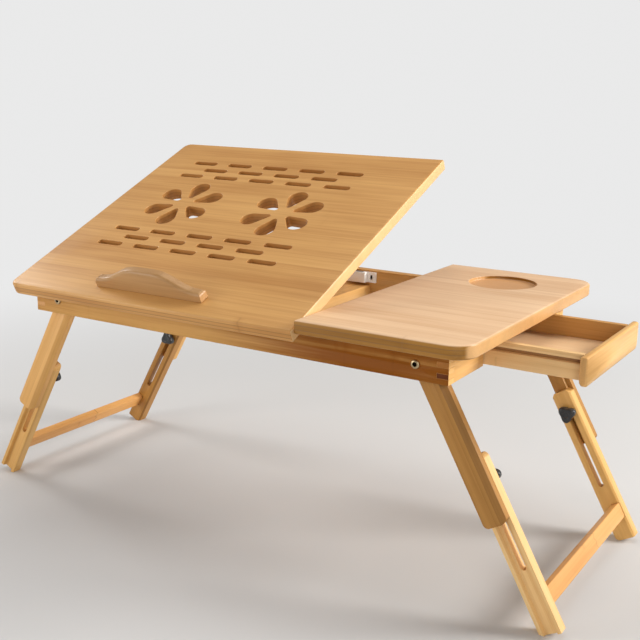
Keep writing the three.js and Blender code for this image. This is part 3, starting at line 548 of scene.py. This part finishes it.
finish = {}
for makeMaterial, looks in ((bambooMaterial, bambooLooks), (steelMaterial, steelLooks),
                            (plasticMaterial, plasticLooks)):
    for name, look in looks.items():
        finish[name] = makeMaterial(name, look)
print("finishes ready:", len(finish))


# Ways to make a piece

mending = {"weld": 0.00002, "flatWithin": 0.6}  # metres and degrees, for the faceted CAD meshes


def grainFrame(direction, across, at):
    # local X along the grain, Y across the strips
    x = Vector(direction).normalized()
    y = (Vector(across) - x * Vector(across).dot(x)).normalized()
    return Matrix.Translation(Vector(at)) @ Matrix((x, y, x.cross(y))).transposed().to_4x4()


def roundEdges(piece, width, steps, sharpest=35.0):
    # with no angle given, the edges' own weights say how far each is rounded
    bevel = piece.modifiers.new("roundedEdges", "BEVEL")
    bevel.width = width
    bevel.segments = steps
    bevel.limit_method = "ANGLE" if sharpest else "WEIGHT"
    if sharpest:
        bevel.angle_limit = math.radians(sharpest)
    bevel.use_clamp_overlap = True
    bevel.harden_normals = True
    bevel.miter_outer = "MITER_ARC"


def placePiece(name, mesh, material, body, nodes, local=None):
    # the mesh comes in the shared frame, and is turned into its own grain frame
    local = local or Matrix.Identity(4)
    mesh.transform(local.inverted())
    mesh.polygons.foreach_set("use_smooth", [True] * len(mesh.polygons))
    mesh.materials.clear()
    mesh.materials.append(finish[material])
    piece = placed(name, mesh)
    piece.matrix_world = local
    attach(piece, body)
    if nodes:
        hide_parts(*nodes)
    return piece


def meshOf(bm, name):
    bmesh.ops.recalc_face_normals(bm, faces=bm.faces)
    mesh = bpy.data.meshes.new(name)
    bm.to_mesh(mesh)
    bm.free()
    return mesh


def softened(node, material, body, local, width, steps=2):
    # the CAD shape again, with its flat faces whole and its edges eased by hand sanding
    bm = bmesh.new()
    bm.from_mesh(frame["nodes"][node].data)
    bmesh.ops.remove_doubles(bm, verts=bm.verts, dist=mending["weld"])
    flat = math.radians(mending["flatWithin"])
    bmesh.ops.dissolve_limit(bm, angle_limit=flat, verts=bm.verts, edges=bm.edges)
    piece = placePiece("shown_" + node, meshOf(bm, node), material, body, [node], local)
    roundEdges(piece, width, steps)


def bodyOf(node):
    return next(name for name, members in frame["record"]["behaviour"]["bodies"].items() if node in members)


def skin(rings):
    # one closed shell through rings of points, in millimetres, with a flat cap at both ends
    bm = bmesh.new()
    loops = [[bm.verts.new([v * mm for v in point]) for point in ring] for ring in rings]
    for a, b in zip(loops, loops[1:]):
        for i in range(len(a)):
            j = (i + 1) % len(a)
            bm.faces.new((a[i], a[j], b[j], b[i]))
    bm.faces.new(loops[0])
    bm.faces.new(loops[-1])
    return meshOf(bm, "skin")


def lathe(profile, around, shape=None, outward=1):
    # rings about the Y axis from (radius, y) or (radius, y, share of the shape) rows
    rings = []
    for radius, y, *share in profile:
        ring = []
        for i in range(around):
            a = 2 * math.pi * i / around
            r = radius + share[0] * (shape(radius, a) - radius) if share else radius
            ring.append((r * math.cos(a), outward * y, r * math.sin(a)))
        rings.append(ring)
    return skin(rings)


def joined(*meshes):
    bm = bmesh.new()
    for mesh in meshes:
        bm.from_mesh(mesh)
    return meshOf(bm, "joined")


def moved(mesh, matrix):
    mesh.transform(matrix)
    return mesh


def cutAway(mesh, cutter):
    # boolean, applied at once so that only the result stays
    a, b = placed("blank", mesh), placed("cutter", cutter)
    boolean = a.modifiers.new("cut", "BOOLEAN")
    boolean.operation = "DIFFERENCE"
    boolean.solver = "EXACT"
    boolean.object = b
    bpy.context.view_layer.update()
    result = bpy.data.meshes.new_from_object(a.evaluated_get(bpy.context.evaluated_depsgraph_get()))
    bpy.data.objects.remove(a)
    bpy.data.objects.remove(b)
    return result


def arc(cx, cy, radius, start, end, steps):
    return [(cx + radius * math.cos(start + (end - start) * i / steps),
             cy + radius * math.sin(start + (end - start) * i / steps)) for i in range(steps + 1)]


def quarterTurn(steps):
    return [math.pi / 2 * i / steps for i in range(steps + 1)]


def roundedOutline(left, near, right, far, corners, inset=0.0, steps=8):
    # corner radii at near left, near right, far right and far left
    points = []
    quarter = math.pi / 2
    # each corner, the way inwards from it and the quarter its arc starts at
    places = ((left, near, 1, 1, 2), (right, near, -1, 1, 3),
              (right, far, -1, -1, 0), (left, far, 1, -1, 1))
    for (x, y, sx, sy, first), radius in zip(places, corners):
        if radius <= 0:
            points.append((x + sx * inset, y + sy * inset))
            continue
        start, end = first * quarter, (first + 1) * quarter
        points += arc(x + sx * radius, y + sy * radius, radius - inset, start, end, steps)
    return points


def slab(outlineAt, low, high, rounding, steps=5):
    # one outline stacked over another, drawn in at the bottom and top for the rounded edges
    curve = [(rounding * (1 - math.sin(a)), rounding * (1 - math.cos(a))) for a in quarterTurn(steps)]
    profile = [(inset, low + rise) for inset, rise in curve]
    profile += [(inset, high - rise) for inset, rise in reversed(curve)]
    return skin([[(x, y, z) for x, y in outlineAt(inset)] for inset, z in profile])


def prisms(outlines, low, high):
    return joined(*[skin([[(x, y, z) for x, y in points] for z in (low, high)]) for points in outlines])


# The two boards, in millimetres; grainAt is where their grain starts, in metres

panel = {
    "left": -273.0, "right": 111.0, "depth": 350.0, "thick": 14.0,
    "hingeFromFront": 23.4, "hingeBelow": 2.6, "tilt": 23.5,
    "corner": 10.0, "round": 2.5, "rimRound": 0.7, "grainAt": (0.06, 0.004),
    "slot": (36.0, 8.0), "slotPitch": 54.0, "rowPitch": 16.4, "slotsAt": -96.5, "rows": (102.55, 267.01),
    "slotSteps": 10, "rowsOfSlots": 3, "slotsInRow": 5,
    "flowerAt": 201.18, "flowerApart": 144.0, "petals": 6, "petalSteps": (22, 8),
    "petalReach": (12.98, 48.98), "petalWidth": (7.0, 24.0),
}
board = {
    "left": 112.0, "right": 290.0, "depth": 350.0, "thick": 14.0,
    "corner": 24.0, "cornerSteps": 12, "round": 2.5, "rimRound": 0.5, "grainAt": (0.43, 0.009),
    "cupFromRight": 83.3, "cupFromBack": 70.0, "cupRadius": 37.5, "cupDepth": 3.8, "cupFillet": 1.4,
    "filletSteps": 5, "around": 96,
}
cutPast = 4.0  # how far a cutter stands out of the board
rimSharp = 60.0  # degrees, so that only the rims of cuts are eased


def slotOutline(x, y):
    length, width = panel["slot"]
    steps = panel["slotSteps"]
    r = width / 2
    half = length / 2 - r
    quarter = math.pi / 2
    return arc(x + half, y, r, -quarter, quarter, steps) + arc(x - half, y, r, quarter, 3 * quarter, steps)


def petalOutline(x, y, angle):
    small, large = (v / 2 for v in panel["petalWidth"])
    inner = panel["petalReach"][0] + small
    outer = panel["petalReach"][1] - large
    tipSteps, neckSteps = panel["petalSteps"]
    flank = math.pi - math.acos((large - small) / (outer - inner))
    tip = arc(x + outer * math.cos(angle), y + outer * math.sin(angle), large,
              angle - flank, angle + flank, tipSteps)
    neck = arc(x + inner * math.cos(angle), y + inner * math.sin(angle), small,
               angle + flank, angle + 2 * math.pi - flank, neckSteps)
    return tip + neck


def vents():
    cuts = []
    for firstRow in panel["rows"]:
        for row in range(panel["rowsOfSlots"]):
            count = panel["slotsInRow"] - row % 2
            for i in range(count):
                x = panel["slotsAt"] + (i - (count - 1) / 2) * panel["slotPitch"]
                cuts.append(slotOutline(x, firstRow + row * panel["rowPitch"]))
    for side in (-0.5, 0.5):
        for i in range(panel["petals"]):
            angle = math.pi / 2 + i * 2 * math.pi / panel["petals"]
            x = panel["slotsAt"] + side * panel["flowerApart"]
            cuts.append(petalOutline(x, panel["flowerAt"], angle))
    return cuts


panelHinge = Vector(jointNamed["panel_tilt"]["pos_m"])
# the panel's own frame: X and Y as when it lies flat, with Y and Z counted from the hinge pin
panelFrame = Matrix.Translation(panelHinge) @ Matrix.Rotation(math.radians(panel["tilt"]), 4, "X")
# front edge of both boards when the panel is down
frontEdge = panelHinge.y / mm - panel["hingeFromFront"]


def makePanel():
    front = -panel["hingeFromFront"]
    low = panel["hingeBelow"]
    high = low + panel["thick"]
    corners = (panel["corner"], 0, 0, panel["corner"])

    def outline(inset):
        return roundedOutline(panel["left"], front, panel["right"], front + panel["depth"], corners, inset)

    cuts = [[(x, y + front) for x, y in points] for points in vents()]
    mesh = cutAway(slab(outline, low, high, panel["round"]), prisms(cuts, low - cutPast, high + cutPast))
    mesh.transform(panelFrame)
    grain = panelFrame @ Matrix.Translation((*panel["grainAt"], low * mm))
    piece = placePiece("vented_panel", mesh, "panelBamboo", "panel", ["tilt_panel"], grain)
    roundEdges(piece, panel["rimRound"] * mm, 2, rimSharp)


def makeFixedBoard():
    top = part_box("fixed_top")[1].z / mm
    low = top - board["thick"]
    corners = (0, board["corner"], board["corner"], 0)

    def outline(inset):
        return roundedOutline(board["left"], frontEdge, board["right"], frontEdge + board["depth"],
                              corners, inset, board["cornerSteps"])

    # the recess is turned with a round-nosed cutter, which leaves a fillet round its floor
    fillet, deep, r = board["cupFillet"], board["cupDepth"], board["cupRadius"]
    profile = [(r - fillet * (1 - math.sin(a)), -deep + fillet * (1 - math.cos(a)))
               for a in quarterTurn(board["filletSteps"])]
    profile.append((r, cutPast))
    cupAcross = frontEdge + board["depth"] - board["cupFromBack"]
    at = Vector((board["right"] - board["cupFromRight"], cupAcross, top))
    upright = Matrix.Translation(at * mm) @ Matrix.Rotation(math.pi / 2, 4, "X")
    cutter = moved(lathe(profile, board["around"]), upright)
    mesh = cutAway(slab(outline, low, top, board["round"]), cutter)
    along, across = board["grainAt"]
    grain = Matrix.Translation((along, frontEdge * mm + across, low * mm))
    piece = placePiece("fixed_board", mesh, "boardBamboo", "frame", ["fixed_top"], grain)
    roundEdges(piece, board["rimRound"] * mm, 2, rimSharp)


makePanel()
makeFixedBoard()
print("boards made")


# Stop bar

stopBar = {
    "length": 144.0, "fromFront": 19.5, "thick": 12.0, "gap": 0.3,
    "ends": 10.0, "crown": 27.0, "flat": 16.0, "curveSteps": 24,
    "edge": 4.2, "edgeSteps": 5, "foot": 0.15,  # the foot's share of the rounding
    "near": 1.0, "grainAt": (0.21, 0.004, 0.07),
}


def makeStopBar():
    half, flat = stopBar["length"] / 2, stopBar["flat"] / 2
    bend = (half - flat) / 2
    low = panel["hingeBelow"] + panel["thick"] + stopBar["gap"]
    front = stopBar["fromFront"] - panel["hingeFromFront"]
    middle = (panel["left"] + panel["right"]) / 2
    ends, crown, steps = stopBar["ends"], stopBar["crown"], stopBar["curveSteps"]
    rise = []
    for i in range(steps + 1):
        # a curve that leaves the low end and meets the crown level
        t = i / steps
        share = ((1 - t) ** 3, 3 * t * (1 - t) ** 2, 3 * t * t * (1 - t), t ** 3)
        x = share[0] * -half + share[1] * (bend - half) + share[2] * (-flat - bend) + share[3] * -flat
        rise.append((x, (share[0] + share[1]) * ends + (share[2] + share[3]) * crown))
    side = [(-half, 0.0)] + rise + [(-x, z) for x, z in reversed(rise)] + [(half, 0.0)]
    mesh = skin([[(middle + x, y, low + z) for x, z in side] for y in (front, front + stopBar["thick"])])
    # the top is rounded over much more than the foot
    near = stopBar["near"]
    weights = mesh.attributes.new("bevel_weight_edge", "FLOAT", "EDGE")
    for edge in mesh.edges:
        a, b = (mesh.vertices[v].co / mm for v in edge.vertices)
        if abs(a.y - b.y) < near or abs((a.x + b.x) / 2 - middle) > half - near:
            weights.data[edge.index].value = stopBar["foot"] if min(a.z, b.z) < low + near else 1.0
    mesh.transform(panelFrame)
    grain = panelFrame @ Matrix.Translation(stopBar["grainAt"]) @ Matrix.Rotation(math.pi / 2, 4, "X")
    piece = placePiece("stop_rail", mesh, "stopBamboo", "panel", ["stop_bar"], grain)
    roundEdges(piece, stopBar["edge"] * mm, stopBar["edgeSteps"], None)


makeStopBar()
print("stop bar made")


# Frame, drawer and prop in bamboo

straightWood = {
    # node: (finish, grain along, strips across, edge width in metres)
    "front_rail": ("frontRailBamboo", "x", "z", 0.00035),
    "back_rail": ("railBamboo", "x", "z", 0.00035),
    "left_end_rail": ("railBamboo", "y", "z", 0.00035),
    "right_end_rail_front": ("endRailBamboo", "y", "z", 0.00035),
    "right_end_rail_back": ("endRailBamboo", "y", "z", 0.00035),
    "centre_batten": ("upperLegBamboo", "y", "x", 0.0010),
    "drawer_runner_near": ("railBamboo", "x", "y", 0.0005),
    "drawer_runner_far": ("railBamboo", "x", "y", 0.0005),
    "prop_block_left": ("railBamboo", "y", "z", 0.0007),
    "prop_block_right": ("railBamboo", "y", "z", 0.0007),
    # painted light and shade: the near side takes the paler drawer bamboo, and the far side, whose inside is seen
    # in shade, the darker rail bamboo
    "drawer_side_near": ("drawerBamboo", "x", "z", 0.0008),
    "drawer_side_far": ("railBamboo", "x", "z", 0.0008),
    "drawer_back": ("drawerBamboo", "y", "z", 0.0008),
    "drawer_floor": ("floorBamboo", "x", "y", 0.0004),
}
axes = {"x": Vector((1, 0, 0)), "y": Vector((0, 1, 0)), "z": Vector((0, 0, 1))}
# each piece is cut further along and across the stock, so that no two look alike, but the knots and
# marks of these are counted from their own middle and foot
markedFromMiddle = ("front_rail", "left_end_rail", "right_end_rail_front", "right_end_rail_back")
stockStep = (0.143, 0.0047)


def makeStraightWood():
    for i, (node, (material, along, across, edge)) in enumerate(straightWood.items()):
        low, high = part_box(node)
        start = Vector(((low.x + high.x) / 2, (low.y + high.y) / 2, low.z))
        if node not in markedFromMiddle:
            start = start + axes[along] * (stockStep[0] * i) + axes[across] * (stockStep[1] * i)
        softened(node, material, bodyOf(node), grainFrame(axes[along], axes[across], start), edge)


drawerFront = {"corner": 7.0, "topCorner": 1.5, "round": 2.5, "grainAt": 0.013}


def makeDrawerFront():
    low, high = (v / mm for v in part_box("drawer_front"))
    bottom, top = drawerFront["corner"], drawerFront["topCorner"]

    def outline(inset):
        return roundedOutline(low.y, low.z, high.y, high.z, (bottom, bottom, top, top), min(inset, top))

    mesh = slab(outline, low.x, high.x, drawerFront["round"])
    # the outline is drawn in Y and Z and stacked along X
    mesh.transform(Matrix(((0, 0, 1, 0), (1, 0, 0, 0), (0, 1, 0, 0), (0, 0, 0, 1))))
    grain = grainFrame(axes["y"], axes["z"], (high.x * mm, drawerFront["grainAt"], low.z * mm))
    placePiece("drawer_face", mesh, "drawerFrontBamboo", "drawer", ["drawer_front"], grain)


propWood = {
    "armEdge": 0.0006, "dowelEdge": 0.0005, "ratchetEdge": 0.0004,
    "armCut": (0.1, 0.07, 0), "ratchetCut": (0, 0.05, 0),
}


def makePropWood():
    swing = math.radians(2 * panel["tilt"])
    along = Vector((0, math.cos(swing), math.sin(swing)))
    for i, node in enumerate(("prop_arm_left", "prop_arm_right")):
        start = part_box(node)[0] + Vector(propWood["armCut"]) * (i + 1)
        softened(node, "railBamboo", "prop", grainFrame(along, axes["x"], start), propWood["armEdge"])
    grain = grainFrame(axes["x"], axes["z"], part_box("prop_dowel")[0])
    softened("prop_dowel", "railBamboo", "prop", grain, propWood["dowelEdge"])
    rise = panelFrame.to_3x3() @ axes["y"]
    for i, node in enumerate(("ratchet_left", "ratchet_right")):
        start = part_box(node)[0] + Vector(propWood["ratchetCut"]) * i
        softened(node, "railBamboo", "panel", grainFrame(rise, axes["x"], start), propWood["ratchetEdge"])


makeStraightWood()
makeDrawerFront()
makePropWood()
print("frame, drawer and prop made")


# Legs

legs = {
    "splay": 29.1, "upperEdge": 0.0012, "lowerEdge": 0.0009, "barEdge": 0.0012, "edgeSteps": 3,
    "cutAt": (0.11, 0.0043, 0.083), "cutFurther": {"upper": 0.0, "lower": 0.19},
    # the legs that take the shaded and the lit copies of the leg bamboo, as painted shade and light
    "woods": {
        "right_front_upper_leg": "darkLegBamboo", "right_back_upper_leg": "darkLegBamboo",
        "right_front_lower_leg": "paleLegBamboo", "left_back_lower_leg": "darkLegBamboo",
    },
}
legCorners = [(side, row) for side in ("left", "right") for row in ("front", "back")]


def makeLegs():
    splay = math.radians(legs["splay"])
    steps = legs["edgeSteps"]
    bySide, byRow, back = legs["cutAt"]
    for s, (side, out) in enumerate((("left", -1), ("right", 1))):
        down = Vector((out * math.sin(splay), 0, -math.cos(splay)))
        across = Vector((math.cos(splay), 0, out * math.sin(splay)))
        pivot = Vector(jointNamed[side + "_leg_fold"]["pos_m"])
        for r, row in enumerate(("front", "back")):
            shift = Vector((bySide * (s + 1), byRow * (r + 1), back * (r + 1)))
            for part, push in legs["cutFurther"].items():
                node = f"{side}_{row}_{part}_leg"
                grain = grainFrame(down, across, pivot + shift + down * push)
                wood = legs["woods"].get(node, part + "LegBamboo")
                softened(node, wood, bodyOf(node), grain, legs[part + "Edge"], steps)
        node = side + "_crossbar"
        low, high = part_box(node)
        middle = Vector((low.x, (low.y + high.y) / 2, low.z))
        grain = grainFrame(axes["y"], down, middle)
        softened(node, "barBamboo", bodyOf(node), grain, legs["barEdge"], steps)


makeLegs()
print("legs made")


# Clamp knobs

knob = {
    "lobes": 3, "radius": 8.6, "lobe": 1.6, "high": 7.5,
    "collar": 2.0, "collarRadius": 6.0, "collarEase": (0.4, 0.5),
    "foot": 1.2, "footSteps": 5, "crown": 2.4, "crownSteps": 8, "crownSoft": 0.35,
    "dish": 0.7, "dishRadius": 3.6, "dishFoot": 0.5, "dishLip": 0.2, "rim": (0.6, 0.3), "navel": 1.0,
    "around": 72, "sharp": 38,
}


def makeKnob(side, row):
    node = f"{side}_{row}_knob"
    low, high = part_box(node)
    inward = 1 if row == "front" else -1
    start = low.y if inward > 0 else high.y
    at = Vector(jointNamed[node + "_turn"]["pos_m"])
    splay = math.radians(legs["splay"]) * (-1 if side == "right" else 1)
    grip, collar = knob["collar"], knob["collarRadius"]
    top = grip + knob["high"]
    foot, crown, radius = knob["foot"], knob["crown"], knob["radius"]
    easeIn, easeUp = knob["collarEase"]
    profile = [(collar - easeIn, 0.0), (collar, easeUp), (collar, grip)]
    for a in quarterTurn(knob["footSteps"]):
        profile.append((radius - foot * (1 - math.sin(a)), grip + foot * (1 - math.cos(a)), 1.0))
    for i, a in enumerate(quarterTurn(knob["crownSteps"])):
        share = 1.0 - knob["crownSoft"] * i / knob["crownSteps"]
        profile.append((radius - crown * (1 - math.cos(a)), top - crown * (1 - math.sin(a)), share))
    dish, floor = knob["dishRadius"], top - knob["dish"]
    rimOut, rimShare = knob["rim"]
    profile += [(dish + rimOut, top, rimShare), (dish, top - knob["dishLip"], 0.0),
                (dish - knob["dishFoot"], floor), (knob["navel"], floor)]

    def lobed(r, a):
        return r + knob["lobe"] * math.cos(knob["lobes"] * a)

    mesh = lathe(profile, knob["around"], lobed, inward)
    mesh.transform(Matrix.Translation((at.x, start, at.z)) @ Matrix.Rotation(splay, 4, "Y"))
    piece = placePiece("grip_" + node, mesh, "blackKnob", bodyOf(node), [node])
    piece.data.set_sharp_from_angle(angle=math.radians(knob["sharp"]))


for side, row in legCorners:
    makeKnob(side, row)
print("knobs made")


# Pivot bolts and screws

bolt = {
    "head": 4.4, "high": 1.6, "rimHigh": 0.3, "dome": ((1.6, 0.0), (0.5, 0.25), (0.12, 0.75)),
    "socket": socketRadius, "socketDeep": 1.4, "socketTip": 0.3, "socketLip": 0.25,
    "shank": 2.4, "flange": 4.4, "flangeHigh": 2.4, "flangeEase": 0.5, "around": 48,
}
screw = {
    # shares of the radius and height
    "dome": ((1.0, 0.0), (0.96, 0.4), (0.8, 0.85), (0.55, 1.0)),
    "recess": ((0.45, 1.0), (0.42, 0.2), (0.2, 0.1)),
    "around": 36,
}
metalSharp = math.radians(40)


def hexagon(radius, angle):
    return radius * math.cos(math.pi / 6) / math.cos(angle % (math.pi / 3) - math.pi / 6)


def makeBolt(side, row):
    node = f"{side}_{row}_pivot_bolt"
    low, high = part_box(node)
    outward = -1 if row == "front" else 1
    at = Vector(jointNamed[side + "_leg_fold"]["pos_m"])
    outer = low.y if row == "front" else high.y
    length = (high.y - low.y) / mm
    head, rim, socket, lip = bolt["head"], bolt["high"], bolt["socket"], bolt["socketLip"]
    shank, flange, ease = bolt["shank"], bolt["flange"], bolt["flangeEase"]
    flangeAt = length - bolt["flangeHigh"]
    # y is counted inwards from the top of the head
    profile = [
        (socket * 0.5, bolt["socketDeep"] + bolt["socketTip"], 1.0), (socket, bolt["socketDeep"], 1.0),
        (socket, lip, 1.0), (socket + lip, 0.0, 1.0),
    ]
    profile += [(head - inwards, down) for inwards, down in bolt["dome"]]
    profile += [
        (head, rim - bolt["rimHigh"]), (head, rim), (shank, rim), (shank, flangeAt),
        (flange, flangeAt), (flange, length - ease), (flange - ease, length),
    ]
    mesh = lathe(profile, bolt["around"], hexagon, -outward)
    home = Matrix.Translation((at.x, outer, at.z))
    piece = placePiece("bolt_" + node, moved(mesh, home), "yellowZinc", bodyOf(node), [node], home)
    piece.data.set_sharp_from_angle(angle=metalSharp)


def screwHead(radius, high):
    # a low domed head with a hexagon recess, facing -Y from the plane y = 0
    profile = [(radius * out, -high * up) for out, up in screw["dome"]]
    profile += [(radius * out, -high * up, 1.0) for out, up in screw["recess"]]
    return lathe(profile, screw["around"], hexagon)


for side, row in legCorners:
    makeBolt(side, row)
print("bolts made")


# Hinges

hinge = {
    "at": {"left": -211.0, "right": 49.0}, "width": 38.0, "plate": (2.6, 13.6), "thick": 1.0, "corner": 2.0,
    "eye": 2.3, "eyes": 5, "eyeSteps": 32, "gap": 0.15, "overlap": 0.1,
    "pin": 0.9, "pinEase": 0.3, "pinAround": 24, "low": {"rail": -0.5, "panel": 1.3},
    "screws": (-13.0, 0.0, 13.0), "screwAt": 8.4, "screwHead": (2.1, 0.3),
}


def alongBar(points, left, right):
    return skin([[(x, y, z) for y, z in points] for x in (left, right)])


def makeHingeLeaf(side, half):
    middle = hinge["at"][side]
    left = middle - hinge["width"] / 2
    low = hinge["low"][half]
    high = low + hinge["thick"]
    near, far = hinge["plate"]
    corner, gap = hinge["corner"], hinge["gap"]
    plate = roundedOutline(left, near, left + hinge["width"], far, (0, 0, corner, corner))
    meshes = [prisms([plate], low, high)]
    step = hinge["width"] / hinge["eyes"]
    last = hinge["eyeSteps"] - 1
    eye = arc(0, 0, hinge["eye"], 0, 2 * math.pi * last / hinge["eyeSteps"], last)
    reach = near + hinge["overlap"]
    for i in range(1 if half == "rail" else 0, hinge["eyes"], 2):
        start, end = left + i * step + gap, left + (i + 1) * step - gap
        meshes.append(alongBar(eye, start, end))
        meshes.append(alongBar([(0, low), (reach, low), (reach, high), (0, high)], start, end))
    up = half == "rail"
    for x in hinge["screws"]:
        turn = Matrix.Rotation(-math.pi / 2 if up else math.pi / 2, 4, "X")
        place = Matrix.Translation(Vector((middle + x, hinge["screwAt"], high if up else low)) * mm)
        meshes.append(moved(screwHead(*hinge["screwHead"]), place @ turn))
    home = Matrix.Translation(panelHinge) if up else panelFrame
    name = f"hinge_{side}_{half}_leaf"
    piece = placePiece("plate_" + name, moved(joined(*meshes), home), "zincSteel", bodyOf(name), [name])
    piece.data.set_sharp_from_angle(angle=metalSharp)


def makeHingePin(side):
    half = hinge["width"] / 2
    pin, ease = hinge["pin"], hinge["pinEase"]
    profile = [(pin - ease, -half), (pin, ease - half), (pin, half - ease), (pin - ease, half)]
    middle = panelHinge + Vector((hinge["at"][side] * mm, 0, 0))
    turn = Matrix.Translation(middle) @ Matrix.Rotation(math.pi / 2, 4, "Z")
    name = f"hinge_{side}_pin"
    rod = moved(lathe(profile, hinge["pinAround"]), turn)
    placePiece("rod_" + name, rod, "zincSteel", bodyOf(name), [name])


for side in ("left", "right"):
    makeHingeLeaf(side, "rail")
    makeHingeLeaf(side, "panel")
    makeHingePin(side)
print("hinges made")


# Magnetic catch, and the metal that keeps its CAD shape

catch = {
    "screws": (-19.0, 19.0), "screwHead": (1.9, 0.8), "earThick": 3.0, "sunk": 1.0,
    "edge": 0.0007, "strikeEdge": 0.0002,
}
metalNodes = {
    "threadedSteel": [n for n in frame["nodes"] if n.endswith("stud")],
    "zincSteel": ["prop_rod", "catch_magnet"],
    "turnedBrass": [n for n in frame["nodes"] if n.endswith("insert_nut")],
}


def makeCatch():
    low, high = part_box("catch_body")
    softened("catch_body", "whiteCatch", "frame", Matrix.Translation(low), catch["edge"], 3)
    face = high.y - (catch["earThick"] - catch["sunk"]) * mm
    for i, x in enumerate(catch["screws"]):
        place = Matrix.Translation((x * mm, face, (low.z + high.z) / 2))
        head = moved(screwHead(*catch["screwHead"]), place)
        placePiece(f"catch_screw_{i + 1}", head, "darkScrew", "frame", [])
    softened("strike_plate", "zincSteel", "panel", panelFrame, catch["strikeEdge"])


makeCatch()
for material, nodes in metalNodes.items():
    for node in nodes:
        slots = frame["nodes"][node].data.materials
        slots.clear()
        slots.append(finish[material])
print("catch and metal made")
